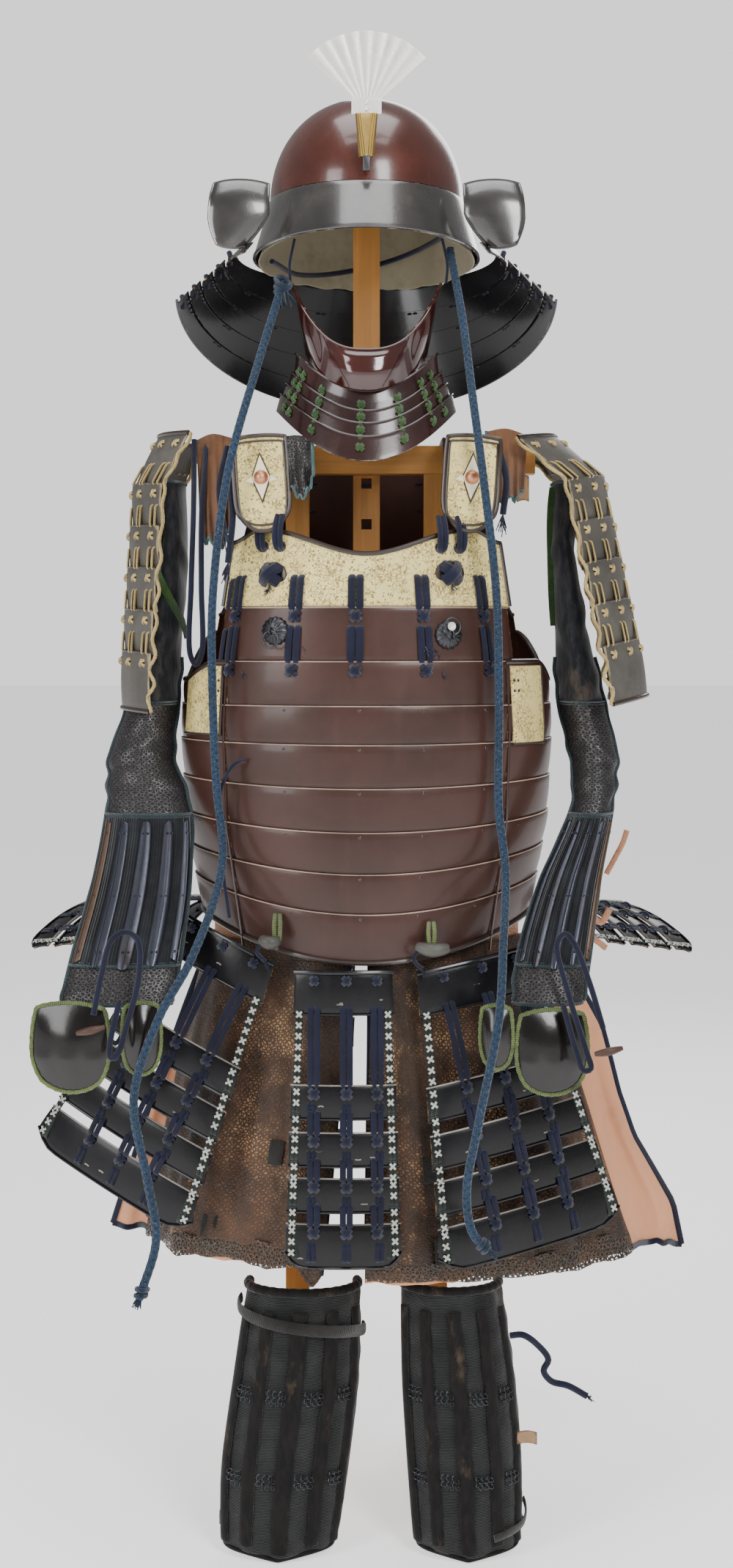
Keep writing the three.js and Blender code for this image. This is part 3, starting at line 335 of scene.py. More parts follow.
class Form:
    """Gathers grids of points, in millimetres, and makes one mesh object of them."""

    def __init__(self):
        self.points, self.faces, self.maps, self.rims, self.slots = [], [], [], [], []
        self.count = 0

    def patch(self, p, loop=False, slot=0, rim=None, chart=None):
        rows, cols = p.shape[:2]
        j, i = np.meshgrid(np.arange(rows - 1), np.arange(cols if loop else cols - 1), indexing="ij")
        k = (i + 1) % cols
        quads = np.stack([j * cols + i, (j + 1) * cols + i, (j + 1) * cols + k, j * cols + k], -1)
        if chart is None:
            s, t = lengths(p, 1), lengths(p, 0)
        else:
            s, t = chart
        if loop:
            s = np.append(s, s[-1] + (s[1] - s[0] if len(s) > 1 else 1))
        uv = np.stack([
            np.stack([s[i], t[j]], -1), np.stack([s[i], t[j + 1]], -1),
            np.stack([s[i + 1], t[j + 1]], -1), np.stack([s[i + 1], t[j]], -1),
        ], 2)
        self.points.append(p.reshape(-1, 3))
        self.faces.append(quads.reshape(-1, 4) + self.count)
        self.maps.append(uv.reshape(-1, 4, 2))
        self.rims.append((np.zeros(p.shape[:2]) if rim is None else rim).reshape(-1))
        self.slots.append(np.full(quads.reshape(-1, 4).shape[0], slot))
        self.count += rows * cols
        return self

    def wall(self, outer, thick, loop=False, slot=0, edge=0.0, wear=5.0):
        """A closed wall whose outer face is the grid. Its edges are rounded by edge."""
        n = normals(outer, loop)
        back = outer - n * thick
        s, t = lengths(outer, 1), lengths(outer, 0)
        from_rows = np.minimum(t, t[-1] - t)[:, None] + 0 * s[None]
        from_cols = from_rows if loop else np.minimum(s, s[-1] - s)[None] + 0 * t[:, None]
        near = np.minimum(from_rows, from_cols)
        if edge:
            short = edge - np.minimum(near, edge)
            outer = outer - n * (edge - np.sqrt(np.maximum(edge**2 - short**2, 0)))[..., None]
        rim = np.exp(-near / wear)
        self.patch(outer, loop, slot, rim)
        self.patch(back[::-1], loop, slot, rim[::-1] * 0.4)
        lips = [np.stack(pair) for pair in ((back[0], outer[0]), (outer[-1], back[-1]))]
        if not loop:
            lips += [np.stack(pair, 1) for pair in ((back[:, 0], outer[:, 0]), (outer[:, -1], back[:, -1]))]
        for lip in lips:
            self.patch(lip, loop, slot, np.ones(lip.shape[:2]))
        return self

    def tube(self, path, width, sides=8, flat=1.0, up=None, slot=0, swell=None, closed=False):
        """A round or flattened cord along a path; up is the direction it is thin in."""
        path = np.asarray(path, float)
        if closed:
            ahead = unit(np.roll(path, -1, 0) - np.roll(path, 1, 0))
        else:
            ahead = unit(np.gradient(path, axis=0))
        if up is None:
            start = np.cross(ahead[0], [0, 0, 1.0])
            if np.linalg.norm(start) < 0.3:
                start = np.cross(ahead[0], [1.0, 0, 0])
            ups = [unit(start)]
            for a in ahead[1:]:
                ups.append(unit(ups[-1] - a * (ups[-1] @ a)))
            up = np.array(ups)
        else:
            up = np.broadcast_to(np.asarray(up, float), path.shape)
            up = unit(up - ahead * (up * ahead).sum(-1, keepdims=True))
        side = np.cross(ahead, up)
        a = turns(sides)
        r = np.full((len(path), sides), width / 2)
        if swell is not None:
            r = r * swell(np.arange(len(path))[:, None], a[None])
        ring = path[:, None] + r[..., None] * (
            side[:, None] * np.cos(a)[None, :, None] + up[:, None] * (flat * np.sin(a))[None, :, None]
        )
        girth = np.arange(sides) * width * math.pi / sides
        s = np.concatenate([[0], np.cumsum(np.linalg.norm(np.diff(path, axis=0), axis=1))])
        if closed:
            ring = np.concatenate([ring, ring[:1]], 0)
            s = np.append(s, s[-1] + np.linalg.norm(path[0] - path[-1]))
        else:
            tip = lambda k: np.repeat(path[k][None, None], sides, 1)
            ring = np.concatenate([tip(0), ring, tip(-1)], 0)
            s = np.concatenate([[s[0]], s, [s[-1]]])
        return self.patch(ring, True, slot, None, (girth, s))

    def lathe(self, profile, sides, place, slot=0, sector=None):
        """A turned form about -y: profile points are radius and height."""
        r, h = np.array(profile, float).T[..., None]
        a = turns(sides)
        if sector is not None:
            r = r * sector(a[None], r)
        return self.patch(place(stack(r * np.cos(a), -h, r * np.sin(a))), True, slot)

    def object(self, name, finishes, nodes=(), body=SUIT):
        """The finished object, riding on its body and standing for the named solids."""
        points = np.concatenate(self.points) * MM
        faces, maps = np.concatenate(self.faces), np.concatenate(self.maps) * MM
        mesh = bpy.data.meshes.new(name)
        mesh.vertices.add(len(points))
        mesh.vertices.foreach_set("co", points.astype(np.float32).ravel())
        mesh.loops.add(faces.size)
        mesh.loops.foreach_set("vertex_index", faces.astype(np.int32).ravel())
        mesh.polygons.add(len(faces))
        mesh.polygons.foreach_set("loop_start", np.arange(0, faces.size, 4, dtype=np.int32))
        mesh.polygons.foreach_set("material_index", np.concatenate(self.slots).astype(np.int32))
        mesh.uv_layers.new(name="Cloth").uv.foreach_set("vector", maps.astype(np.float32).ravel())
        wear = mesh.attributes.new("rim", "FLOAT", "POINT")
        wear.data.foreach_set("value", np.concatenate(self.rims).astype(np.float32))
        mesh.update(calc_edges=True)
        made = bmesh.new()
        made.from_mesh(mesh)
        bmesh.ops.remove_doubles(made, verts=made.verts, dist=MERGE_M)
        flat = [f for f in made.faces if f.calc_area() < LEAST_AREA_M2]
        bmesh.ops.delete(made, geom=flat, context="FACES_ONLY")
        made.to_mesh(mesh)
        made.free()
        mesh.shade_smooth()
        mesh.set_sharp_from_angle(angle=math.radians(SHARP_DEGREES))
        for key in finishes.split():
            mesh.materials.append(finish(key))
        thing = bpy.data.objects.new(name, mesh)
        bpy.context.scene.collection.objects.link(thing)
        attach(thing, body)
        if nodes:
            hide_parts(*nodes)
        return thing


# ---------- Shaders ----------


def plug(tree, socket, value):
    """Links a wire to a socket, or sets the socket's value."""
    if isinstance(value, Wire):
        tree.links.new(value.socket, socket)
    elif socket.type == "RGBA" and len(value) == 3:
        socket.default_value = (*value, 1)
    else:
        socket.default_value = value


class Wire:
    """A node's output that arithmetic works on."""

    def __init__(self, socket):
        self.socket = socket

    def math(self, operation, *values):
        tree = self.socket.id_data
        node = tree.nodes.new("ShaderNodeMath")
        node.operation = operation
        for socket, value in zip(node.inputs, values):
            plug(tree, socket, value)
        return Wire(node.outputs[0])

    def __add__(self, other):
        return self.math("ADD", self, other)

    def __sub__(self, other):
        return self.math("SUBTRACT", self, other)

    def __rsub__(self, other):
        return self.math("SUBTRACT", other, self)

    def __mul__(self, other):
        return self.math("MULTIPLY", self, other)

    def __truediv__(self, other):
        return self.math("DIVIDE", self, other)

    __radd__ = __add__
    __rmul__ = __mul__

    def most(self, other):
        return self.math("MAXIMUM", self, other)

    def fract(self):
        return self.math("FRACT", self)

    def size(self):
        return self.math("ABSOLUTE", self)

    def wave(self):
        return self.math("SINE", self)

    def root(self):
        return self.math("SQRT", self)

    def rise(self, low, high):
        """0 below low and 1 above high, smooth between; reversed if low is the larger."""
        tree = self.socket.id_data
        node = tree.nodes.new("ShaderNodeMapRange")
        node.interpolation_type = "SMOOTHSTEP"
        for socket, value in zip(node.inputs, (self, low, high, 0.0, 1.0)):
            plug(tree, socket, value)
        return Wire(node.outputs[0])


class Finish:
    """A material being made: its shader and the nodes that feed it."""

    def __init__(self, name, **uniform):
        self.material = bpy.data.materials.new(name)
        self.material.use_nodes = True
        self.tree = self.material.node_tree
        self.shader = self.tree.nodes["Principled BSDF"]
        for key, value in uniform.items():
            plug(self.tree, self.shader.inputs[key.replace("_", " ")], value)
        self.spot = self.node("ShaderNodeTexCoord", out="Object")

    def node(self, kind, settings=(), inputs=(), out=0):
        node = self.tree.nodes.new(kind)
        for key, value in dict(settings).items():
            setattr(node, key, value)
        for key, value in dict(inputs).items():
            plug(self.tree, node.inputs[key], value)
        return Wire(node.outputs[out])

    def stretched(self, by, at):
        return self.node("ShaderNodeMapping", {}, {"Vector": at, "Scale": by}) if by else at

    def noise(self, scale, detail=4.0, roughness=0.6, by=None):
        return self.node("ShaderNodeTexNoise", {}, {
            "Vector": self.stretched(by, self.spot), "Scale": scale, "Detail": detail, "Roughness": roughness})

    def cells(self, scale, by=None, at=None, feature="F1"):
        return self.node("ShaderNodeTexVoronoi", {"feature": feature}, {
            "Vector": self.stretched(by, at or self.spot), "Scale": scale}, "Distance")

    def chart(self):
        """Across and down the piece, in metres."""
        node = self.tree.nodes.new("ShaderNodeUVMap")
        node.uv_map = "Cloth"
        split = self.tree.nodes.new("ShaderNodeSeparateXYZ")
        self.tree.links.new(node.outputs[0], split.inputs[0])
        return Wire(split.outputs[0]), Wire(split.outputs[1])

    def rim(self):
        return self.node("ShaderNodeAttribute", {"attribute_name": "rim"}, (), "Fac")

    def tint(self, share, a, b):
        """The colours a and b mixed by share."""
        node = self.tree.nodes.new("ShaderNodeMix")
        node.data_type = "RGBA"
        sockets = {(socket.name, socket.type): socket for socket in reversed(node.inputs)}
        for key, value in ((("Factor", "VALUE"), share), (("A", "RGBA"), a), (("B", "RGBA"), b)):
            plug(self.tree, sockets[key], value)
        return Wire(next(socket for socket in node.outputs if socket.type == "RGBA"))

    def made(self, colour=None, roughness=None, metallic=None, height=None, depth=0.0005):
        for name, value in (("Base Color", colour), ("Roughness", roughness), ("Metallic", metallic)):
            if value is not None:
                plug(self.tree, self.shader.inputs[name], value)
        if height is not None:
            bump = self.node("ShaderNodeBump", {}, {"Height": height, "Distance": depth, "Strength": 1.0})
            plug(self.tree, self.shader.inputs["Normal"], bump)
        return self.material


def shade(rgb, by):
    """A colour made darker or lighter."""
    return tuple(min(c * by, 1.0) for c in rgb)


def lacquer(name, base, rough, worn, mottle, coat, wear, grime=0.5, gloss=0.5):
    """Lacquer over iron or hide: cloudy, pitted, and chipped to a paler ground along its edges."""
    f = Finish(name, Coat_Weight=coat, Coat_Roughness=0.12, Specular_IOR_Level=gloss)
    cloud = f.noise(7, 6, 0.62)
    grain = f.noise(230, 3, 0.5)
    streak = f.noise(26, 5, 0.7, (1, 1, 0.2))
    spots = f.cells(70)
    body = f.tint(cloud.rise(0.36, 0.68), shade(base, 1 - mottle), shade(base, 1 + 1.4 * mottle))
    body = f.tint(streak.rise(0.55, 0.8) * 0.45, body, shade(base, 1.7))
    chips = (f.rim() * (0.35 + f.noise(120, 4, 0.7))).rise(1.02 - 0.5 * wear, 1.2 - 0.5 * wear)
    pits = spots.rise(0.09, 0.05) * grime * 0.5
    body = f.tint(pits, body, shade(base, 0.4))
    colour = f.tint(chips, body, worn)
    roughness = rough + cloud * 0.14 + streak.rise(0.5, 0.9) * 0.16 + chips * 0.3
    height = grain * 0.25 + cloud * 0.8 - chips * 0.8
    return f.made(colour, roughness, None, height, 0.00035)


def stencil_leather(name, base, stained=0.35):
    """Smoked leather printed all over with small leaves and rows of dots."""
    f = Finish(name, Specular_IOR_Level=0.35)
    bend = f.node("ShaderNodeVectorMath", {"operation": "MULTIPLY_ADD"}, {
        0: f.node("ShaderNodeTexNoise", {}, {"Vector": f.spot, "Scale": 60.0, "Detail": 2.0}, "Color"),
        1: (0.012, 0.012, 0.012), 2: f.spot})
    vines = f.cells(230, None, bend, "DISTANCE_TO_EDGE").rise(0.1, 0.04) * f.noise(60, 3).rise(0.44, 0.54)
    leaves = f.cells(270, (1, 1, 0.8), bend).rise(0.34, 0.24)
    dots = f.cells(440).rise(0.3, 0.2) * f.noise(20).rise(0.45, 0.56)
    ink = (vines * 0.8).most(leaves).most(dots) * f.noise(15, 5).rise(0.28, 0.5)
    stain = f.noise(13, 6, 0.7).rise(0.5, 0.8) * stained
    ground = f.tint(f.noise(9, 4).rise(0.3, 0.7), shade(base, 0.84), shade(base, 1.12))
    ground = f.tint(stain, ground, (0.34, 0.2, 0.07))
    colour = f.tint(ink * 0.85, ground, (0.16, 0.1, 0.03))
    colour = f.tint(f.rim().rise(0.5, 0.95) * 0.55, colour, (0.2, 0.13, 0.06))
    height = f.noise(420, 3) * 0.6 - ink * 0.5
    return f.made(colour, 0.58 + f.noise(30) * 0.2, None, height, 0.0003)


def plain_leather(name, base, edge):
    """Leather without print, paler at its worn edges."""
    f = Finish(name, Specular_IOR_Level=0.4)
    cloud = f.noise(14, 6, 0.65)
    crease = f.cells(240, None, None, "SMOOTH_F1")
    colour = f.tint(cloud.rise(0.35, 0.7), shade(base, 0.72), shade(base, 1.25))
    colour = f.tint((f.rim() * (0.4 + f.noise(90))).rise(0.62, 0.9), colour, edge)
    return f.made(colour, 0.36 + cloud * 0.22, None, crease * 0.5 + cloud, 0.0005)


def mail(name, ring, ground, shine, rust, patchy=False, net=False):
    """Rings linked four to one over cloth; patchy mail shows worn pale cloth, and a net has no cloth."""
    f = Finish(name, Specular_IOR_Level=0.5)
    link = bpy.context.scene.armour_sizes.link
    s, t = f.chart()
    wobble, drift = f.noise(110, 3) * link * 1.4, f.noise(75, 3, 0.6, (1, 1.1, 0.9)) * link * 1.4

    def links(shift, lean):
        x = ((s + wobble) / link + shift).fract() - 0.5
        y = ((t + drift) / link + shift).fract() - 0.5
        away = (x * x * (1 + lean) + y * y * (1 - lean)).root()
        return (away - 0.33).size().rise(0.16, 0.08)

    rings = links(0.0, 0.3).most(links(0.5, -0.3))
    cloud = f.noise(13, 6, 0.7)
    metal = f.tint(f.noise(22, 6, 0.7).rise(0.35, 0.68) * rust, ring, (0.12, 0.05, 0.022))
    metal = f.tint(f.noise(420, 2).rise(0.5, 0.7) * 0.6, metal, shade(ring, 3.2))
    cloth = f.tint(f.noise(30, 5).rise(0.35, 0.7), shade(ground, 0.5), shade(ground, 1.5))
    if patchy:
        cloth = f.tint(cloud.rise(0.47, 0.72), cloth, (0.62, 0.36, 0.17))
        soiled = f.noise(8, 5, 0.7, (1.6, 1.6, 0.5)).rise(0.52, 0.42) * 0.92
        cloth = f.tint(soiled, cloth, (0.022, 0.012, 0.008))
    if net:
        plug(f.tree, f.shader.inputs["Alpha"], rings.rise(0.3, 0.6))
    colour = f.tint(rings * (0.9 if patchy else 1), cloth, metal)
    return f.made(colour, 0.72 - rings * 0.3, rings * shine, rings + f.noise(300) * 0.15, 0.0011)


def ribbed(name, base, other, pitch, across=False, depth=0.0006, sheen=0.3, band=None):
    """Corded or wrapped cloth: ribs that follow the piece."""
    f = Finish(name, Sheen_Weight=sheen, Sheen_Roughness=0.4, Specular_IOR_Level=0.25)
    s, t = f.chart()
    line = s if across else t
    fluff = f.noise(500, 3)
    rib = ((line + f.noise(120) * pitch * 0.25) * (2 * math.pi / pitch)).wave() * 0.5 + 0.5
    cloud = f.noise(24, 5, 0.65)
    colour = f.tint(cloud.rise(0.35, 0.7), base, other)
    # The grooves between ribs are darkened: painted shade.
    colour = f.tint((1 - rib) * 0.55, colour, shade(base, 0.4))
    colour = f.tint(fluff.rise(0.55, 0.75) * 0.3, colour, shade(other, 1.6))
    if band:
        colour = f.tint(f.noise(42, 3).rise(0.56, 0.7) * 0.7, colour, band)
    return f.made(colour, 0.8 + fluff * 0.12, None, rib + fluff * 0.4, depth)


def braided(name, base, light):
    """A round cord plaited from flecked strands."""
    f = Finish(name, Sheen_Weight=0.2, Sheen_Roughness=0.5, Specular_IOR_Level=0.3)
    s, t = f.chart()
    one = ((s * 250.0 + t * 250.0) * math.pi).wave()
    two = ((s * 250.0 - t * 250.0) * math.pi).wave()
    strand = one.most(two) * 0.5 + 0.5
    fleck = f.noise(900, 3, 0.6)
    cloud = f.noise(20, 4)
    colour = f.tint(cloud.rise(0.35, 0.7) * 0.6, base, shade(base, 1.7))
    # The gaps between strands are darkened: painted shade.
    colour = f.tint((1 - strand) * 0.75, colour, shade(base, 0.3))
    colour = f.tint(fleck.rise(0.58, 0.68) * 0.6, colour, light)
    return f.made(colour, 0.78, None, strand + fleck * 0.3, 0.0007)


def velvet(name, base, light):
    """Napped cloth or hide, worn bare in places."""
    f = Finish(name, Sheen_Weight=0.35, Sheen_Roughness=0.35, Specular_IOR_Level=0.2)
    nap = f.noise(150, 5, 0.7, (1, 1, 0.35))
    bare = f.noise(30, 6, 0.7, (1, 1, 0.4)).rise(0.55, 0.72)
    colour = f.tint(nap.rise(0.35, 0.7) * 0.6, base, light)
    colour = f.tint(bare * 0.5, colour, (0.12, 0.085, 0.055))
    return f.made(colour, 0.85, None, nap, 0.0007)


def metal(name, base, rough, stain, amount, scale=40, stretch=(1, 1, 1)):
    """Bare metal with stains."""
    f = Finish(name, Metallic=1.0)
    cloud = f.noise(scale, 6, 0.7, stretch)
    fine = f.noise(scale * 9, 4, 0.6, stretch)
    worn = cloud.rise(0.45, 0.75) * amount
    colour = f.tint(worn, base, stain)
    colour = f.tint(f.rim().rise(0.6, 1.0) * 0.5, colour, shade(base, 1.6))
    return f.made(colour, rough + cloud * 0.2 + worn * 0.2, None, fine * 0.5 + cloud, 0.0003)


def timber(name, base, grain):
    """Softwood; grain is small along the length of the piece."""
    f = Finish(name, Specular_IOR_Level=0.4, Coat_Weight=0.12, Coat_Roughness=0.3)
    warp = f.noise(9, 3, 0.5, grain)
    lines = f.noise(75, 5, 0.55, grain)
    fine = f.noise(520, 3, 0.6, grain)
    rings = ((lines + warp * 1.5) * 16.0).wave() * 0.5 + 0.5
    colour = f.tint(rings * 0.55, base, shade(base, 0.62))
    colour = f.tint(f.noise(5, 4).rise(0.4, 0.75) * 0.4, colour, shade(base, 1.25))
    colour = f.tint(fine.rise(0.6, 0.75) * 0.35, colour, shade(base, 0.42))
    colour = f.tint(f.rim().rise(0.6, 1.0) * 0.25, colour, shade(base, 0.5))
    return f.made(colour, 0.42 + fine * 0.2, None, fine + rings * 0.4, 0.0003)


def lining_cloth(name, base, stain, scale=12):
    """Thin plain-woven cloth, stained and creased."""
    f = Finish(name, Sheen_Weight=0.15, Specular_IOR_Level=0.2)
    s, t = f.chart()
    thread = (s * 5200.0).wave() * (t * 5200.0).wave()
    cloud = f.noise(scale, 6, 0.7)
    fold = f.noise(34, 3, 0.5, (1, 1, 0.3))
    colour = f.tint(cloud.rise(0.45, 0.78) * 0.6, base, stain)
    colour = f.tint(f.noise(60, 5).rise(0.62, 0.8) * 0.5, colour, shade(base, 1.3))
    return f.made(colour, 0.88, None, thread * 0.15 + fold * 1.6 + cloud * 0.6, 0.0012)


# A finish's maker, its material's name and the maker's values. A word is a colour that the user may change,
# and a word with a number is that colour made darker or lighter.
FINISH_TABLE = {
    "russet": (lacquer, "russet_lacquer", "russet", 0.3, (0.3, 0.2, 0.13), 0.2, 0.15, 0.45, 0.3, 0.35),
    "bowl": (lacquer, "bowl_lacquer", "bowl", 0.2, (0.2, 0.09, 0.05), 0.3, 0.5, 0.3, 0.1),
    "band": (lacquer, "band_lacquer", (0.03, 0.026, 0.024), 0.2, (0.4, 0.34, 0.26), 0.5, 0.7, 0.5, 0.4, 0.9),
    "black": (lacquer, "black_lacquer", "black", 0.15, (0.32, 0.19, 0.1), 0.35, 0.3, 0.45, 0.3, 0.3),
    "tasset": (lacquer, "tasset_lacquer", (0.006, 0.006, 0.007), 0.2, (0.34, 0.19, 0.09), 0.4, 0.05, 0.46, 0.4,
        0.28),
    "mask": (lacquer, "mask_lacquer", "mask", 0.06, (0.32, 0.18, 0.12), 0.25, 0.9, 0.45, 0.2),
    "throat": (lacquer, "throat_lacquer", (0.03, 0.01, 0.0085), 0.17, (0.36, 0.27, 0.2), 0.35, 0.5, 0.55, 0.4),
    "stencil": (stencil_leather, "stencil_leather", "leather"),
    "stained": (stencil_leather, "stained_leather", "leather", 0.95),
    "grey_leather": (plain_leather, "grey_leather", (0.085, 0.078, 0.068), (0.34, 0.27, 0.16)),
    "tan_leather": (plain_leather, "tan_leather", (0.33, 0.2, 0.1), (0.12, 0.06, 0.03)),
    "apron_mail": (mail, "apron_mail", (0.026, 0.018, 0.013), (0.1, 0.045, 0.02), 0.3, 0.5, True),
    "dark_mail": (mail, "dark_mail", (0.05, 0.048, 0.05), (0.0025, 0.0025, 0.003), 0.6, 0.1),
    "mail_net": (mail, "mail_net", (0.05, 0.042, 0.034), (0.01, 0.008, 0.006), 0.4, 0.4, False, True),
    "velvet_cloth": (velvet, "velvet_cloth", (0.01, 0.011, 0.014), (0.05, 0.05, 0.055)),
    "piping": (ribbed, "piping", (0.025, 0.042, 0.05), (0.05, 0.075, 0.085), 0.0016),
    "shin_cloth": (ribbed, "shin_cloth", (0.01, 0.0108, 0.0112), (0.027, 0.028, 0.028), 0.0017, False, 0.0007),
    "arm_ribs": (ribbed, "arm_ribs", (0.006, 0.007, 0.009), (0.02, 0.023, 0.028), 0.003, True, 0.0008),
    "strips": (velvet, "hide_strips", (0.005, 0.0045, 0.0045), (0.016, 0.0135, 0.0125)),
    "lining": (lining_cloth, "peach_lining", "peach", (0.45, 0.2, 0.12)),
    "canvas": (lining_cloth, "canvas", (0.36, 0.32, 0.22), (0.14, 0.1, 0.05), 22),
    "blue": (braided, "blue_cord", "blue", (0.16, 0.25, 0.32)),
    "blue_fray": (ribbed, "blue_fray", "blue", ("blue", 2.2), 0.0008),
    "navy": (ribbed, "navy_lacing", "navy", ("navy", 1.9), 0.0009, False, 0.0004, 0.3),
    "cream": (ribbed, "cream_lacing", "cream", ("cream", 1.5), 0.0012),
    "green": (ribbed, "green_edging", "green", ("green", 1.6), 0.0022, False, 0.0009, 0.3, (0.05, 0.05, 0.03)),
    "green_knot": (ribbed, "green_lacing", (0.025, 0.075, 0.014), (0.06, 0.13, 0.03), 0.0012),
    "white": (ribbed, "white_lacing", (0.62, 0.62, 0.56), (0.8, 0.8, 0.76), 0.0012),
    "dark_lace": (ribbed, "dark_lacing", (0.012, 0.02, 0.016), (0.03, 0.045, 0.035), 0.0012),
    "ties": (ribbed, "peach_ties", ("peach", 0.8), "peach", 0.0013),
    "ties_dark": (ribbed, "dark_strap", (0.012, 0.012, 0.011), (0.04, 0.037, 0.032), 0.0014),
    "teal": (ribbed, "teal_piping", (0.05, 0.12, 0.13), (0.1, 0.2, 0.2), 0.0014),
    "rag": (lining_cloth, "brown_rags", (0.2, 0.09, 0.04), (0.03, 0.02, 0.02), 40),
    "splint": (metal, "splint_iron", (0.07, 0.075, 0.095), 0.24, (0.05, 0.035, 0.025), 0.7, 26, (1, 1, 0.3)),
    "rolled": (lacquer, "rolled_edge", (0.03, 0.018, 0.014), 0.3, (0.2, 0.12, 0.07), 0.3, 0.2, 0.4),
    # edge: the thin pale line along each lame's top edge, a painted highlight
    "edge": (lacquer, "worn_edge", (0.3, 0.22, 0.17), 0.34, (0.5, 0.42, 0.34), 0.4, 0.2, 0.4),
    "russet_stud": (lacquer, "lacquered_stud", ("russet", 0.6), 0.2, (0.3, 0.2, 0.13), 0.2, 0.4, 0.3),
    # Pale chipped lacquer for real scars, and a painted highlight where it lines the tasset lames' top edges
    "chip": (lacquer, "chipped_edge", (0.17, 0.15, 0.13), 0.35, (0.36, 0.24, 0.14), 0.5, 0.2, 0.5),
    "rusty": (metal, "rusty_splint", (0.12, 0.085, 0.065), 0.36, (0.06, 0.03, 0.018), 0.9, 30, (1, 1, 0.3)),
    "iron": (metal, "dark_iron", (0.075, 0.078, 0.085), 0.3, (0.03, 0.025, 0.02), 0.5, 70),
    "brass": (metal, "brass", (0.55, 0.38, 0.12), 0.22, (0.2, 0.12, 0.05), 0.6, 60),
    "ivory": (lacquer, "ivory_washer", (0.8, 0.73, 0.54), 0.35, (0.4, 0.28, 0.14), 0.12, 0.2, 0.2, 0.1),
    "copper": (metal, "copper", (0.62, 0.29, 0.17), 0.32, (0.3, 0.12, 0.07), 0.4, 90),
    "pale": (metal, "pale_metal", (0.9, 0.88, 0.84), 0.34, (0.55, 0.5, 0.42), 0.5, 30),
    "hand": (lacquer, "hand_lacquer", (0.008, 0.006, 0.0055), 0.14, (0.36, 0.2, 0.14), 0.5, 0.2, 0.5, 0.6, 0.4),
    "toggle": (timber, "toggle_wood", (0.06, 0.024, 0.014), (0.2, 1, 1)),
    "horn": (plain_leather, "grey_horn", (0.07, 0.068, 0.058), (0.25, 0.22, 0.17)),
    "wood_tall": (timber, "post_wood", "wood", (1, 1, 0.07)),
    "wood_wide": (timber, "bar_wood", "wood", (0.07, 1, 1)),
    "wood_deep": (timber, "foot_wood", "wood", (1, 0.07, 1)),
}
FINISHES = {}


def toned(value):
    """A value of the finish table, with colour words looked up."""
    if isinstance(value, str):
        return tuple(getattr(bpy.context.scene.armour_colours, value))
    if isinstance(value, tuple) and isinstance(value[0], str):
        return shade(toned(value[0]), value[1])
    return value


def finish(name):
    """The named material, made the first time it is asked for."""
    if name not in FINISHES:
        maker, label, *values = FINISH_TABLE[name]
        FINISHES[name] = maker(label, *map(toned, values))
    return FINISHES[name]


# ---------- Laces, knots, studs and rings ----------


def frame_at(face, a, b, out):
    """A point on a face with the directions across, down and out of it."""
    a, b, step = np.array([a], float), np.array([b], float), 0.01
    here = face(a, b, out)[0]
    right = unit(face(a + step, b, out)[0] - here)
    down = unit(face(a, b + step, out)[0] - here)
    return here, right, down, unit(face(a, b, out + 1.0)[0] - here)


def knot(form, face, a, b, lift, size):
    """Two laces crossed over each other in an X on a face. Returns the frame where it is tied."""
    here, right, down, out = frame_at(face, a, b, lift)
    t = np.linspace(-1, 1, 6)[:, None]
    rise = 0.34 * size * (1 - t**2) - 0.6
    for lean, over in ((1, 0.0), (-1, 0.09 * size)):
        path = here + (right * t + down * t * lean) * size * 0.42 + out * (rise + over)
        form.tube(path, size * 0.62, 6, 0.5, out)
    return here, right, down, out


def lace(form, face, a, b, width, lift, tuck, slot=0, flat=0.42, steps=9):
    """One flat lace over a face: a across and b down, its ends tucked into holes or behind an edge."""
    t = np.unique(np.concatenate([np.linspace(0, 1, steps), [0.03, 0.07, 0.93, 0.97]]))
    rise = lift - tuck * (np.exp(-t * 26) + np.exp((t - 1) * 26))
    across, down = mix(*a, t), mix(*b, t)
    path = face(across, down, rise)
    form.tube(path, width, 6, flat, face(across, down, rise + 4) - path, slot)


LACE_SHIFT = 0.54  # of a lace's width, from the pair's middle


def lace_pair(form, face, a, b, per_mm, width, lift, tuck):
    """Two straight laces side by side."""
    for shift in (-LACE_SHIFT, LACE_SHIFT):
        at = a + shift * width * per_mm
        lace(form, face, (at, at), b, width, lift, tuck)


def round_square(count):
    """Positions round the edge of a square that runs from -1 to 1."""
    a = np.linspace(0, 8, count + 1)[:-1]
    return np.clip(np.abs((a + 4) % 8 - 4) - 2, -1, 1), np.clip(np.abs((a + 6) % 8 - 4) - 2, -1, 1)


class Seat:
    """Puts a small turned form on a surface, its axis along the surface's outward direction."""

    def __init__(self, centre, away, up=(0, 0, 1)):
        away = unit(np.asarray(away, float))
        side = unit(np.cross(up, away))
        self.rows = np.array([side, away, np.cross(away, side)])
        self.centre = centre

    def __call__(self, points):
        # The turned form's axis is -y, and that becomes the outward direction.
        x, y, z = (points[..., k : k + 1] for k in range(3))
        return x * self.rows[0] - y * self.rows[1] + z * self.rows[2] + self.centre


def stud(form, centre, away, radius, height, slot=0, sides=10):
    """A small domed head."""
    dome = [(0, height), (radius * 0.6, height * 0.85), (radius, height * 0.3), (radius * 1.02, -0.4), (0, -0.4)]
    form.lathe(dome, sides, Seat(centre, away), slot)


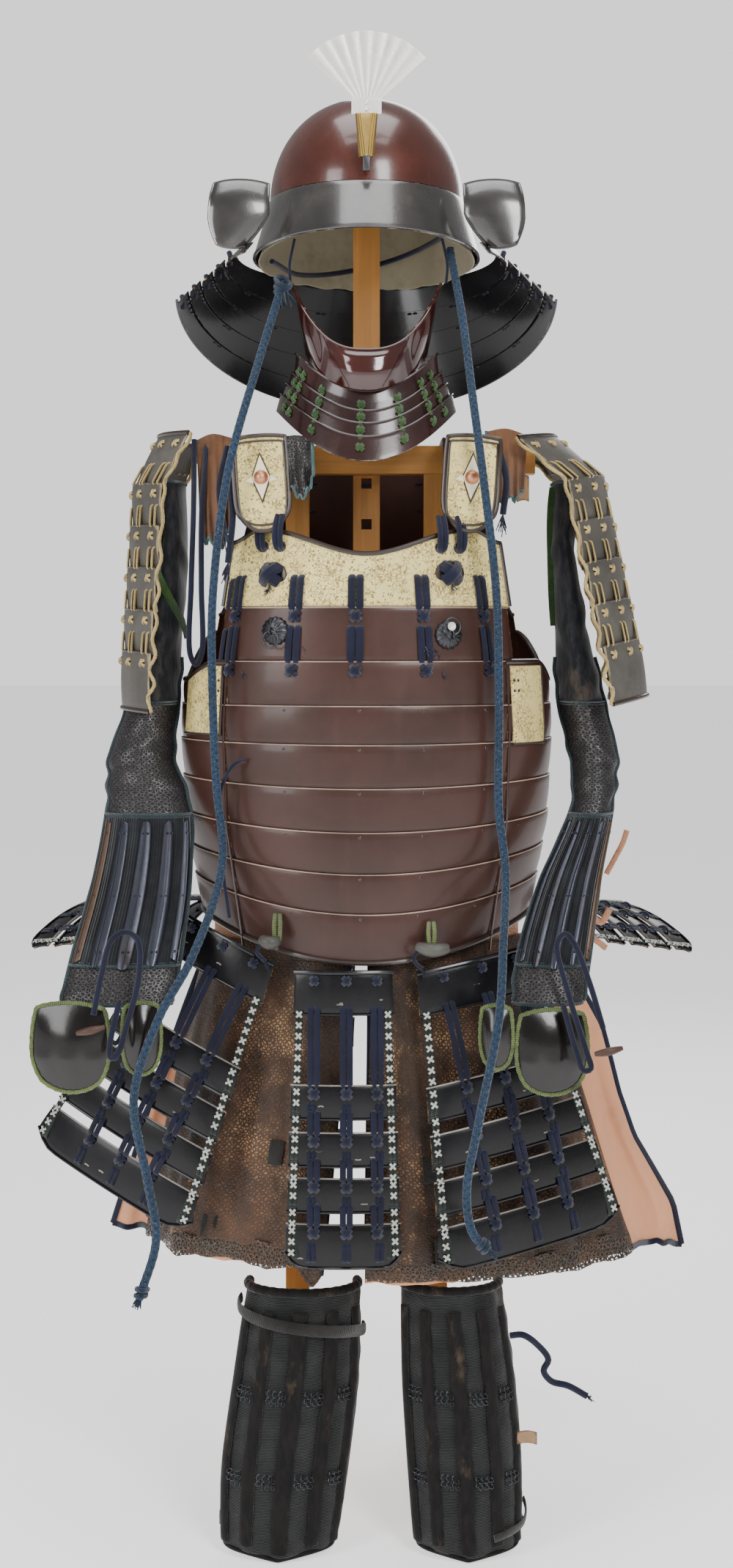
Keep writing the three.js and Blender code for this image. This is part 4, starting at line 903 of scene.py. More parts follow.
def eyelet(form, centre, away, radius, squash=1.0):
    """A rimmed hole: a rolled ring round a dark disc."""
    seat = Seat(centre, away)
    profile = [(radius * 0.72, 0.2), (radius * 0.8, 1.1), (radius, 1.5), (radius * 1.2, 1.0), (radius * 1.25, -0.3)]
    oval = lambda points: seat(points * np.array([squash, 1, 1.0]))
    form.lathe(profile + [(radius * 0.72, -0.3), profile[0]], 16, oval)
    form.lathe([(0, 0.25), (radius * 0.8, 0.25), (radius * 0.8, -0.2), (0, -0.2)], 12, oval, 1)


def fray(form, tip, ahead, count, length, seed, width, spread_by):
    """Loose strands at a cord's cut end."""
    rng = np.random.default_rng(seed)
    ahead = unit(np.asarray(ahead, float))
    t = np.linspace(0, 1, 6)[:, None]
    for _ in range(count):
        away = unit(rng.normal(size=3))
        curl = unit(rng.normal(size=3))
        reach = length * rng.uniform(0.6, 1.0)
        bend = away * t**1.4 * reach * spread_by
        path = tip + ahead * t * reach + bend + curl * np.sin(t * 3.0) * reach * 0.1
        form.tube(path, width, 5)


# ---------- Stage and cords ----------


CAMERA = {"lens": 47.5, "sensor_width": 36, "shift_y": -0.0933}
CAMERA_SPOT = (0, -2.32, 0.98)
FLOOR_REACH = 40
FLOOR_GLOW = 0.85
SKY_SEEN, SKY_LIGHT = 1.0, 0.3
# name, place, aimed at, width, height, power
LIGHTS = [
    ("key", (1.1, -2.6, 2.5), (0.05, 0, 1.1), 0.8, 1.4, 66),
    ("window", (-1.9, -2.0, 1.7), (0, 0, 0.9), 0.9, 1.8, 42),
    ("top", (0, -0.3, 3.2), (0, 0, 1.0), 1.6, 1.6, 40),
    ("back", (0.6, 2.4, 2.2), (0, 0, 1.0), 1.4, 1.6, 26),
]


def stand_up(name, data, spot=(0, 0, 0), turn=(0, 0, 0)):
    """A new object of the stage in the scene."""
    thing = bpy.data.objects.new(name, data)
    thing.location, thing.rotation_euler = spot, turn
    bpy.context.scene.collection.objects.link(thing)
    return thing


def make_stage():
    scene = bpy.context.scene
    lens = bpy.data.cameras.new("camera")
    for key, value in CAMERA.items():
        setattr(lens, key, value)
    scene.camera = stand_up("camera", lens, CAMERA_SPOT, (math.pi / 2, 0, 0))

    f = Finish("studio_floor", Roughness=0.8, Emission_Color=(1, 1, 1), Emission_Strength=FLOOR_GLOW)
    mesh = bpy.data.meshes.new("floor")
    corners = [(x * FLOOR_REACH, y * FLOOR_REACH, 0) for x, y in ((-1, -1), (1, -1), (1, 1), (-1, 1))]
    mesh.from_pydata(corners, [], [(0, 1, 2, 3)])
    mesh.materials.append(f.made((0.93, 0.93, 0.93)))
    stand_up("floor", mesh)

    world = bpy.data.worlds.new("studio")
    world.use_nodes = True
    tree = world.node_tree
    colour, strength = tree.nodes["Background"].inputs[:2]
    colour.default_value = (1, 1, 1, 1)
    # The backdrop that is seen is brighter than the light that it gives.
    seen = Wire(tree.nodes.new("ShaderNodeLightPath").outputs["Is Camera Ray"])
    plug(tree, strength, seen * SKY_SEEN + SKY_LIGHT)
    scene.world = world
    for name, spot, aim, width, height, power in LIGHTS:
        data = bpy.data.lights.new(name, "AREA")
        data.shape, data.size, data.size_y, data.energy = "RECTANGLE", width, height, power
        stand_up(name, data, spot, (Vector(aim) - Vector(spot)).to_track_quat("-Z", "Y").to_euler())


def cord_length(path):
    """Length of a path."""
    return float(np.linalg.norm(np.diff(path, axis=0), axis=1).sum())


def make_cords():
    strands = bpy.context.scene.armour_sizes.strands

    def plaited(k, a):
        one = np.abs(np.sin(strands * a / 4 + k * 0.62))
        two = np.abs(np.sin(strands * a / 4 - k * 0.62))
        return 0.93 + 0.12 * np.maximum(one, two)

    for name, (width, route) in CORDS.items():
        blue = name.startswith("helmet")
        rough_length = cord_length(np.array(route, float))
        path = spline(route, int(rough_length / (1.9 if blue else 3.0)))
        form = Form()
        form.tube(path, width, 24 if blue else 12, swell=plaited if blue else None)
        cord = form.object(name, "blue" if blue else "navy", [name])
        if blue:
            end = Form()
            tip, ahead = path[-1], unit(path[-1] - path[-6])
            side = unit(np.cross(ahead, [0, 1.0, 0.2]))
            t = np.linspace(0, 1, 22)
            away = np.cross(ahead, side)
            coil = [tip - ahead * 12 + ahead * 9 * s + (side * math.cos(9 * s) + away * math.sin(9 * s)) * 5.2
                    for s in t]
            end.tube(np.array(coil), 5.5, 8)
            if name.endswith("left"):
                end.tube(np.array([tip - ahead * 8 + side * 4 * math.sin(3 * s) - away * 1 for s in t]), 7, 8)
            fray(end, tip - ahead * 5, ahead, 34, 15, 7 if name.endswith("left") else 8, 1.1, 0.34)
            end.object(name + "_end", "blue_fray")
        if name == "shin_tie":
            end = Form()
            fray(end, path[-1], path[-1] - path[-4], 12, 7, 5, 0.9, 0.5)
            end.object(name + "_end", "navy")


def make_cheek_knot():
    """The left helmet cord is tied at the mask's cheek in a knot with frayed ends."""
    form = Form()
    top = np.array(CORDS["helmet_cord_left"][1][0], float)
    for k, lean in enumerate((-0.6, 0.2, 0.9)):
        t = turns(14)
        loop = top + np.stack([8 * np.cos(t), 5 * np.sin(t) - 3, (6 - k) * np.sin(t + lean) - 4 * k], -1)
        form.tube(loop, 5.5, 8, closed=True)
    for seed, shift in ((3, (-7, -4, -18)), (4, (3, -6, -22)), (6, (9, -3, -14))):
        fray(form, top + (0, -5, -6), shift, 8, 24, seed, 1.6, 0.22)
    form.object("helmet_cord_left_knot", "blue_fray")


# ---------- Stand ----------


GRAINS = {"bar": "wood_wide", "rail": "wood_wide", "foot": "wood_deep"}


def make_stand():
    """The stand's own solids are smooth enough to be seen, so they only get their wood."""
    for name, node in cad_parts.items():
        if name.startswith("stand_"):
            grains = [grain for word, grain in GRAINS.items() if word in name]
            node.data.materials.clear()
            node.data.materials.append(finish((grains + ["wood_tall"])[0]))


# ---------- Helmet ----------


def helm_point(azimuth, w, d, z):
    """A point on an oval round the helmet's axis."""
    return stack(w * np.sin(azimuth), HELM_Y - d * np.cos(azimuth), z)


def brow(azimuth, v, inside=0.0):
    """The brow band: v runs down from the bowl's rim to the peak's edge."""
    front = ((1 + np.cos(azimuth)) / 2) ** 2
    w = mix(BOWL["x"] + 1, mix(124, 134, front), v) - inside
    d = mix(BOWL["y"] + 1, mix(138, 158, front), v) - inside
    return helm_point(azimuth, w, d, mix(BOWL["rim"] - 0.5, mix(1400, 1411, front), v))


def guard_ring(j, angle, out=0.0):
    """The neck guard: j counts lames down from the band, angle runs from the right side round the back."""
    flare = 13.6 * j
    s, c = np.sin(angle), np.cos(angle)
    return stack(
        (143 + flare) * c + out * c, HELM_Y - 14 + (159 + 8 * j) * s + out * s,
        1402 - 10 * j - (6 + 18.2 * j) * np.maximum(s, -0.1) + 0.5 * out,
    )


def shell(form, x, y, rise, rim, thick, sides, steps):
    """A bowl-shaped shell with a rounded lip, open below."""
    up = np.linspace(math.pi / 2, 0, steps)
    rows = []
    for off, turn in ((0, up), (thick, up[::-1])):
        for a in turn:
            r = max(math.cos(a), 0) ** 0.9
            rows.append(((x - off) * r, (y - off) * r, rim + (rise - off) * math.sin(a)))
    rows.insert(steps, (x - thick / 2, y - thick / 2, rim - 0.8))
    form.patch(np.stack([helm_point(turns(sides), *row) for row in rows]), True)


def make_bowl():
    """The bowl and the brow band with its peak."""
    form = Form()
    shell(form, BOWL["x"], BOWL["y"], BOWL["rise"], BOWL["rim"], 3, 96, 26)
    form.object("helmet_bowl_shell", "bowl", ["helmet_bowl"])

    azimuth = turns(120)
    v = spread(10, 62, 1.2)[:, None]
    form = Form()
    form.wall(brow(azimuth[None], v), 2.5, True, edge=1.1)
    lower = brow(azimuth, 1.0, 0.6) + (0, 0, 0.6)
    form.tube(lower, 3.0, 8, closed=True)
    form.object("helmet_band", "band", ["helmet_brow_band"])


def make_helmet_lining():
    """A sewn cap whose skirt hangs inside the band; its edge is torn at the back."""
    azimuth = turns(120)
    rng = np.random.default_rng(21)
    torn = np.convolve(rng.uniform(0, 1, 126), np.ones(4) / 4, "same")[:120]
    back = np.sin(azimuth / 2) ** 2
    rows = []
    for low in np.linspace(0, 1, 6):
        edge = brow(azimuth, low, mix(9, 5.5, low))
        edge[:, 2] -= low * back * (4 + 8 * torn)
        rows.append(edge)
    for rise in np.linspace(math.pi / 2, 0.12, 14):
        r = max(math.cos(rise), 0) ** 0.9
        pleat = 1 - 0.012 * np.cos(azimuth * 9) * (1 - math.sin(rise))
        rows.insert(0, helm_point(azimuth, (BOWL["x"] - 8) * r * pleat, (BOWL["y"] - 8) * r * pleat,
                                  BOWL["rim"] - 0.5 + (BOWL["rise"] - 8) * math.sin(rise)))
    rows[:14] = rows[:14][::-1]
    outer = np.stack(rows)
    inner = outer - unit(outer - (0, HELM_Y, BOWL["rim"] - 20.0)) * 1.6
    form = Form().patch(np.concatenate([outer, inner[::-1]]), True)
    cap = form.object("helmet_cap_lining", "canvas", ["helmet_lining"])


def make_inner_cord():
    """A dark cord runs across the inside of the helmet."""
    form = Form()
    inside = [(-118, 0, 1402), (-84, 96, 1400), (-30, 130, 1408),
              (40, 130, 1424), (92, 84, 1440), (112, 20, 1450)]
    form.tube(spline([(x * 0.9, y * 0.8, z) for x, y, z in inside], 40), 6, 8)
    for x, top, foot in ((-84, 1402, 1369), (88, 1404, 1368)):
        drop = [(x * 0.93, -70, top + 12), (x, -66, mix(top, foot, 0.5)), (x * 0.99, -58, foot)]
        form.tube(spline(drop, 10), 3, 6)
    form.object("helmet_inner_cord", "navy")


def make_neck_guard():
    """Five lames, each edge standing proud of the one above, and their lacing."""
    form = Form()
    for k in range(5):
        forward = 22 * max(1.2 - k, 0) - 1.2 * k
        angle = np.radians(np.linspace(-6 - forward, 186 + forward, 100))
        u = spread(5, 24, 1.0)
        outer = np.stack([guard_ring(k + mix(-0.16, 1.0, t), angle, 4.6 * (1 - t)) for t in u])
        form.wall(outer, 2.2, edge=0.9, wear=4)
    rim = guard_ring(4.98, np.radians(np.linspace(-2, 182, 90)), 0.6)
    form.tube(rim, 3.6, 8)
    form.object("neck_guard_lames", "black", ["helmet_neck_guard"])
    form = Form()
    face = lambda a, b, out: guard_ring(b, np.radians(-a), out)
    for k in range(1, 5):
        for degrees in (-176, -171, -150, -130, -110, -90, -70, -50, -30, -9, -4):
            knot(form, face, degrees, k + 0.34, 3.4, 8)
            lace_pair(form, face, degrees, (k - 0.42, k + 0.12), 0.38, 6.0, lift=3.4, tuck=3)
    for side, at in ((1, 6), (-1, 174)):
        for k in range(5):
            tip = guard_ring(k + 0.15, math.radians(at - side * (2 + 5 * (k == 0))), 5)
            end = [(side * 3, -6, 6), (side, -9, 0), (side * 2, -4, -8)]
            form.tube(np.array([tip + shift for shift in end]), 6, 6)
    form.object("neck_guard_lacing", "navy")


def make_turnbacks():
    """The curled ends of the neck guard's top lame."""
    for side, sign in SIDES.items():
        s, t = np.meshgrid(span(10, 72, 1.0), -span(12, 80, 1.0))
        low = np.maximum(-t, 0)
        x = 31 * (1 - 0.5 * low**1.5) * s * (0.75 + 0.25 * np.sqrt(1 - t * t / 2)) + 8 * sign * low
        z = 38 * t * (0.65 + 0.35 * np.sqrt(1 - s * s / 2))
        curl = stack(x, 12 * np.maximum(t, 0) ** 2 + 4 * s * s - sign * 8 * s, z)
        place = Place(sign * 139, -92, 1438, sign * 12)
        form = Form().wall(place(curl), 2.0, edge=0.9, wear=5)
        border = np.concatenate([curl[0], curl[1:, -1], curl[-1, -2::-1], curl[-2:0:-1, 0]])
        form.tube(place(border + (0, 0.4, 0)), 2.6, 6, closed=True)
        form.object(f"turnback_{side}", "band", [f"helmet_turnback_{side}"])


def make_crest():
    """A folded brass sleeve on an iron prong, and in it a broad fan on a riveted tab."""
    place = Place(0, -135.5, 1488, 0, 0, -6)
    form = Form()
    t = spread(6, 45, 0.8)[:, None]
    s = np.linspace(-1, 1, 9)[None]
    half = mix(10, 5, t)
    front = stack(s * half, -3.5 - 0.9 * np.abs(s) ** 6, 45 - 45 * t)
    form.wall(place(front), 6.8, edge=0.8)
    for sign in (-1, 1):
        lip = stack(sign * (half[:, 0] - 2.2), -5.0, 44 - 43 * t[:, 0])
        form.tube(place(lip), 3.0, 6)
    s, t = np.meshgrid(spread(2, 7.8, 0.8), spread(2, 16, 0.8))
    form.wall(place(stack((s - 0.5) * 7.8, -4, -7 + (0.5 - t) * 16)), 8, slot=1, edge=0.8)
    form.object("crest_sleeve", "brass iron", ["crest_holder"])

    place = Place(0, -130.5, 1534, 0, 0, -6)
    form = Form()
    angle = np.radians(np.linspace(138, 42, 61))[None]
    far = 2 + 82 * spread(18, 82, 0.8)[::-1, None]
    flute = 0.008 * far * np.abs(np.sin(angle * 17))
    fan = stack(far * np.cos(angle), -0.6 - flute, 2 + far * np.sin(angle))
    form.wall(place(fan), 1.2, wear=4)
    s, t = np.meshgrid(np.linspace(-1, 1, 7), spread(4, 20, 0.6))
    tab = stack(s * 15.8, -2.0, 17 - 17 * t)
    form.wall(place(tab), 1.6)
    for z in (12, 5):
        stud(form, place(np.array([0, -2, z], float)), (0, -1, 0), 2.4, 1.4)
    form.object("crest_fan", "pale", ["crest_plate"])


def make_helmet():
    for make in (make_bowl, make_helmet_lining, make_inner_cord, make_neck_guard, make_turnbacks, make_crest):
        make()


# ---------- Half mask and throat guard ----------

MASK_HALF_DEGREES = 82
# half width, half depth, height at the front, height at the side of each seam
BIB = [(76, 78, 1234, 1284), (81, 85, 1220, 1272), (87, 92, 1206, 1260),
       (93, 99, 1191, 1248), (101, 110, 1166, 1230)]


def bib_point(j, degrees, out=0.0):
    """The throat guard: j counts seams down from the mask."""
    rows = np.array(BIB, float)
    j = np.asarray(j, float)
    w, d, front, side = (np.interp(j, range(5), rows[:, k]) for k in range(4))
    a = np.radians(degrees)
    z = mix(front, side, np.sin(a) ** 2) + 9 * np.clip(-10 * (j - 0.1), 0, 1)
    return stack((w + out) * np.sin(a), FACE_Y - (d + out) * np.cos(a), z)


def mask_point(a, v, out=0.0):
    """The half mask: a from cheek to cheek in radians, v down from the top edge."""
    side = np.abs(np.sin(a))
    z = mix(1286 + 86 * side**2.6, 1241 + 48 * side**2, v)
    chin = np.exp(-((a / 0.42) ** 6)) * np.exp(-(((v - 0.62) / 0.45) ** 2))
    lip = 1.6 * np.exp(-(((v - 0.2) / 0.1) ** 2)) * np.exp(-((a / 0.45) ** 4))
    fold = 3.4 * np.exp(-(((np.abs(a) - 0.62 - 0.1 * v) / 0.09) ** 2)) * np.sin(np.pi * np.clip(v, 0, 1))
    cheek = 3.6 * np.exp(-(((np.abs(a) - 0.98) / 0.2) ** 2)) * np.exp(-(((v - 0.45) / 0.3) ** 2))
    out = out + lip - fold + cheek
    return stack(
        (84 + out) * np.sin(a) * (1 - 0.2 * v * side),
        FACE_Y - (92 + 12 * chin - 8 * v * v + out) * np.cos(a), z,
    )


def make_mask():
    half = math.radians(MASK_HALF_DEGREES)
    a = np.linspace(-half, half, 90)
    v = spread(20, 60, 1.1)[:, None]
    form = Form().wall(mask_point(a[None], v), 2.5, edge=1.0, wear=2.6)
    form.tube(mask_point(a, 0.01, 0.3), 2.4, 8)
    form.object("mask_face", "mask", ["half_mask"])

    form = Form()
    degrees = np.linspace(-80, 80, 70)
    for k in range(4):
        u = spread(5, 16, 0.9)
        outer = np.stack([bib_point(max(k + mix(-0.1, 1.0, t), 0), degrees, 3.4 * (1 - t) + 0.3) for t in u])
        form.wall(outer, 2, edge=0.8, wear=3)
        form.tube(bib_point(max(k - 0.1, 0), degrees, 3.3), 2.2, 6)
    form.object("throat_lames", "throat", ["throat_guard"])
    form = Form()
    face = lambda x, j, out: bib_point(j, x, out)
    for k in range(4):
        for degrees in (-64, -57, -36, -4, 24, 46, 58):
            knot(form, face, degrees, k + 0.42, 3.0, 8.0)
            if k:
                lace(form, face, (degrees, degrees), (k - 0.22, k + 0.1), 6.0, 2.6, 3, flat=0.5)
    form.object("throat_lacing", "green_knot")


# ---------- Cuirass ----------


def body_face(degrees, down, out=0.0):
    """The body's surface, counted downwards: down is minus the height."""
    return body_point(degrees, -down, out)


def foot_rim(form, degrees):
    """The rolled rim along the foot of the body plates."""
    form.tube(body_point(degrees, seam_height(LAME_TOPS[-1], degrees) + 2, 1.2), 5.5, 8, slot=2)


def lame_studs(form, azimuths, drop, out, radius, height):
    """A row of small studs under the top edge of every lame but the first."""
    for top in LAME_TOPS[1:-1]:
        for d in azimuths:
            z = seam_height(top, d) - drop
            stud(form, body_point(d, z, out), body_facing(d, z), radius, height, slot=3)


def body_lames(form, start, end, top_at):
    """Lames that overlap upwards, each with a proud rounded top edge."""
    degrees = np.linspace(start, end, int(abs(end - start) / 2.0) + 2)
    for k, (top, foot) in enumerate(zip(LAME_TOPS, LAME_TOPS[1:])):
        upper = top_at(degrees) if k == 0 else seam_height(top, degrees)
        lower = seam_height(foot, degrees) - (2.0 if foot > LAME_TOPS[-1] else 0)
        t = spread(5, top - foot, 1.0)[:, None]
        outer = body_point(degrees[None], mix(upper, lower, t), mix(2.6, 0.3, t) + 0.9 * np.sin(t * math.pi))
        form.wall(outer, 2.2, edge=1.0, wear=3)
        # A thin pale line along the lame's top edge: a painted highlight.
        form.tube(body_point(degrees, upper - 0.2, 2.3), 1.4, 6, slot=1)


CHEST_HALF = 54
UPPER_HALF = 52
CHEST_FOOT, UPPER_TOP, UPPER_FOOT = 1013, 1012.3, 956


def chest_top(degrees):
    """Height of the chest plate's top edge."""
    x = np.abs(np.sin(np.radians(degrees))) / math.sin(math.radians(CHEST_HALF))
    return 1068 + 27 * ease(x / 0.78) - 13 * ease((x - 0.8) / 0.2)


def back_top(degrees):
    """Height of the back plate's top edge."""
    return 1180 - 175 * ease((np.abs(degrees - 180) - 44) / 17)


def armhole(side):
    """Height of a side plate's top edge, as a function of the azimuth."""
    start, run = (52, 26) if side == "left" else (66, 20)
    return lambda d: 953 - 20 * ease((np.abs(d) - start) / run) + 52 * ease((np.abs(d) - 96) / 22)


LACING_COLUMNS = (-46, -22.9, -3.4, 18, 40)
BACK_COLUMNS = (134, 157, 180, 203, 226)
DEGREES_PER_MM = 0.3


def make_cuirass():
    # Chest: stencilled leather over a plate, its edge rolled over in dark leather.
    degrees = np.linspace(-CHEST_HALF, CHEST_HALF, 80)
    t = spread(10, 60, 1.0)[:, None]
    top = chest_top(degrees)
    form = Form().wall(body_point(degrees[None], mix(top, CHEST_FOOT, t), 1), 2.5, edge=0.9, wear=2.2)
    form.tube(body_point(degrees, top + 0.5, 0.6), 5.4, 8, slot=1)
    for d in (-CHEST_HALF, CHEST_HALF):
        z = np.linspace(chest_top(d), CHEST_FOOT + 1, 8)
        form.tube(body_point(d, z, 0.6), 5.0, 8, slot=1)
    form.object("chest_leather", "stencil rolled", ["chest_plate"])

    form = Form()
    degrees = np.linspace(-UPPER_HALF, UPPER_HALF, 72)
    form.wall(body_point(degrees[None], mix(UPPER_TOP, UPPER_FOOT, t), mix(2.4, 0.9, t)), 2.5, edge=1.0, wear=3)
    # A thin pale line along the plate's top edge: a painted highlight.
    form.tube(body_point(degrees, 1012, 2.4), 1.8, 6, slot=1)
    form.object("upper_lame", "russet edge", ["upper_plate"])

    form = Form()
    body_lames(form, -FRONT_HALF - 0.4, FRONT_HALF + 0.4, lambda d: LAME_TOPS[0])
    foot_rim(form, np.linspace(-FRONT_HALF, FRONT_HALF, 60))
    lame_studs(form, (-25, -2, 17, 38), 5, 2.2, 1.9, 0.9)
    materials = "russet edge rolled russet_stud"
    form.object("front_plate_lames", materials, ["front_lames"])

    for side, sign in SIDES.items():
        form = Form()
        first, last = FRONT_HALF + 0.3, BACK_START - 0.3
        ends = (-last, -first) if sign < 0 else (first, last)
        body_lames(form, *ends, armhole(side))
        degrees = np.linspace(*ends, 50)
        form.tube(body_point(degrees, armhole(side)(degrees) + 1, 1.0), 6.5, 8, slot=2)
        foot_rim(form, degrees)
        edge = FRONT_HALF + 0.7
        z = np.linspace(948, 645, 40)
        form.tube(body_point(sign * edge, z, 2.4), 2.6, 6, slot=3)
        lame_studs(form, [sign * d for d in (54, 64, 75, 86, 97, 108)], 6, 2.0, 1.7, 0.8)
        form.object(f"side_lames_{side}", materials, [f"side_plate_{side}"])

        # Cream leather faces the top of each side plate.
        degrees = np.linspace(sign * 49, sign * (73 if sign < 0 else 69), 24)[:: sign]
        high = np.minimum(armhole(side)(degrees) - 2, 950)
        low = (876, 866)[sign > 0]
        leather = Form().wall(body_point(degrees[None], mix(high, low, t), 3.9), 1.2, edge=0.6, wear=2)
        down_edge = mix(high[-1], low, t[::-1, 0])
        border = np.concatenate([body_point(degrees, low, 3.6), body_point(degrees[-1], down_edge, 3.6)])
        leather.tube(border, 3.0, 6, slot=1)
        for z in (934, 923):
            for d in (50.5, 52.6):
                seat = Seat(body_point(sign * d, z, 4.0), body_facing(sign * d, z))
                leather.lathe([(0, 0.5), (1.5, 0.4), (1.7, -0.2), (0, -0.2)], 8, seat, 1)
        leather.object(f"side_leather_{side}", "stencil rolled")

    form = Form()
    body_lames(form, BACK_START, 360 - BACK_START, back_top)
    degrees = np.linspace(BACK_START, 360 - BACK_START, 110)
    form.tube(body_point(degrees, back_top(degrees) + 1, 0.6), 6.0, 8, slot=2)
    foot_rim(form, degrees)
    form.object("back_plate_lames", materials, ["back_plate"])


def make_lacing():
    """Paired laces over each joint of the plates and a crossed knot below it."""
    form = Form()
    for k, d in enumerate(LACING_COLUMNS):
        for top, foot, knot_z in ((1046, 1009, 1003), (993, 953, 945.5)):
            lace_pair(form, body_face, d, (-top, -foot), DEGREES_PER_MM, 8.0, lift=3.4, tuck=4)
            if k == 0:
                lace(form, body_face, (d - 4.4, d - 4.4), (-top + 3, -foot), 7.5, 3.2, 4)
            here, right, down, away = knot(form, body_face, d, -knot_z, 3.0, 11.5)
            for dx, dz in ((-4.5, -5), (4.5, -5), (-4.5, 5), (4.5, 5)):
                stud(form, here + right * dx + down * dz - away * 1.4, away, 2.6, 0.5)
        fringe = body_point(d + 5.2, 944, 3)
        if k in (0, 3):
            fray(form, fringe, (0.4, -0.5, -1), 5, 9, k, 0.8, 0.3)
    for z in LAME_TOPS:
        for d in BACK_COLUMNS:
            knot(form, body_face, d, 8 - seam_height(z, d), 3.0, 10)
    for d in BACK_COLUMNS[1:-1]:
        lace_pair(form, body_face, d, (-1160, -1128), DEGREES_PER_MM, 8, lift=3, tuck=4)
    # Frayed ends hang beside the bosses.
    for seed, spot in ((1, (-70, -137, 979)), (2, (69, -137, 972)), (3, (60, -140, 975))):
        fray(form, np.array(spot, float), (0.3, -0.4, -1), 16, 15, seed, 0.9, 0.45)
    form.object("cuirass_lacing", "navy")


def make_bosses():
    """Each boss is a rosette of petals with a staple, in which a ring swings."""
    for side, (d, z, up) in BOSSES.items():
        seat = Seat(body_point(d, z, 3), body_facing(d, z))
        petals = lambda a, r: 1 + 0.05 * np.cos(a * 16) * (r > 8)
        form = Form()
        profile = [(0, 8.8), (2.5, 8.6), (4, 7.6), (4.6, 6.4), (6, 6.4),
                   (9, 5.4), (12.5, 3.6), (14.6, 1.4), (15, 0), (0, -1)]
        form.lathe(profile, 64, seat, 0, sector=petals)
        for a in turns(16):
            dips = ((5.5, 6.7), (9, 5.7), (12.5, 4.0), (14.4, 2.0))
            form.tube(seat(np.array([[math.cos(a) * r, -h, math.sin(a) * r] for r, h in dips])), 1.5, 5)
        a = turns(16)
        staple = stack(0, -RING_REACH + 3.4 * np.sin(a), 3.4 * np.cos(a))
        form.tube(seat(staple), 2.0, 8, closed=True)
        if up > 0:
            form.lathe([(0, 9.4), (3.4, 10.2), (4.6, 12.6), (4.0, 12.6), (2.8, 10.8), (0, 10.2)][::-1], 14,
                       Seat(body_point(d, z + 9, 2), body_facing(d, z)), 1)
        form.object(f"rosette_{side}", "iron pale", [f"boss_{side}"])
        form = Form()
        a = turns(32)
        loop = stack(9 * np.cos(a), -RING_REACH, 9 * np.sin(a) + up * 9)
        form.tube(seat(loop), 2.2, 10, closed=True)
        form.object(f"swivel_ring_{side}", "iron", [f"ring_{side}"], f"ring_{side}")


# y and z along each shoulder strap, from the back plate to the chest
STRAP_LINE = [(84, 1186), (62, 1195), (26, 1198.5), (-26, 1198.5),
              (-66, 1195), (-90, 1180), (-98, 1152), (-101, 1124)]
# x and z of two eyelets and of the oval below them, on each side of the chest
STRAP_HOLES = [((-110, 1077), (-91.5, 1077), (-100, 1047)), ((78.5, 1075), (98.5, 1075), (88.5, 1048.5))]


def make_straps():
    path = spline([(0, *spot) for spot in STRAP_LINE], 36)
    for side, sign in SIDES.items():
        u = spread(6, 54, 1.2)[None]
        outer = stack(sign * 112 + mix(-27, 27, u), path[:, 1:2], path[:, 2:])
        form = Form().wall(outer, 3, edge=1.0, wear=4)
        for x in (-27, 27):
            form.tube(path + (sign * 112 + x, 0, 0), 5, 8, slot=1)
        form.object(f"strap_{side}", "russet rolled", [f"shoulder_strap_{side}"])

        # The plate on the strap's end, faced with stencilled leather inside a dark double rim.
        place = Place(sign * 112, -111, 1145, 0, -sign * 4, 7)
        s, t = np.meshgrid(span(14, 60, 1.0), -span(20, 104, 1.0))

        def plate(s, t, out=0.0):
            low = np.maximum(-t, 0)
            x = 29.5 * s * (1 - 0.2 * low**3 - 0.05 * np.maximum(t, 0) ** 6)
            z = 52 * t + 15 * np.abs(s) ** 2.4 * low**2.5 - 2.5 * s * s * np.maximum(t, 0) ** 3
            return place(stack(x, -5 * (1 - s * s) * (1 - t * t) - out, z))

        form = Form().wall(plate(s, t), 2.6, edge=0.8, wear=3)
        u, v = round_square(96)
        for inset, width, lift in ((1.0, 4.6, 0.4), (0.88, 2.4, 0.6)):
            form.tube(plate(u * inset, v * inset, lift), width, 8, slot=1, closed=True)
        z = 5
        diamond = np.array([(0, 26), (10, 0), (0, -26), (-10, 0)], float)
        arms = np.array([(0, 8), (19, -3), (0, -8), (-19, -3)], float)
        for ring, high, slot in ((arms, -0.4, 3), (diamond * 1.1, -0.2, 1), (diamond, 0.6, 3)):
            low = place(stack(ring[:, 0], -5.0 - high, ring[:, 1] + z))
            upper = place(stack(ring[:, 0] * 0.9, -6.8 - high, ring[:, 1] * 0.9 + z))
            cap = place(np.array([[0.0, -7.3 - high, z]]))
            base = place(np.array([[0.0, -4.0, z]]))
            grid = np.stack([np.repeat(cap, 4, 0), upper, low, np.repeat(base, 4, 0)])
            form.patch(grid[:, ::-1], True, slot)
        dome = [(0, 8.2), (3, 7.8), (5.6, 6), (7.4, 3), (8, 0), (0, -1)]
        seat = Seat(place(np.array([0, -6.6, z], float)), place.facing(np.array([0, -1.0, 0])))
        form.lathe(dome, 28, seat, 2)
        leather = "stained" if sign < 0 else "stencil"
        form.object(f"strap_end_{side}", leather + " rolled copper ivory", [f"strap_plate_{side}"])


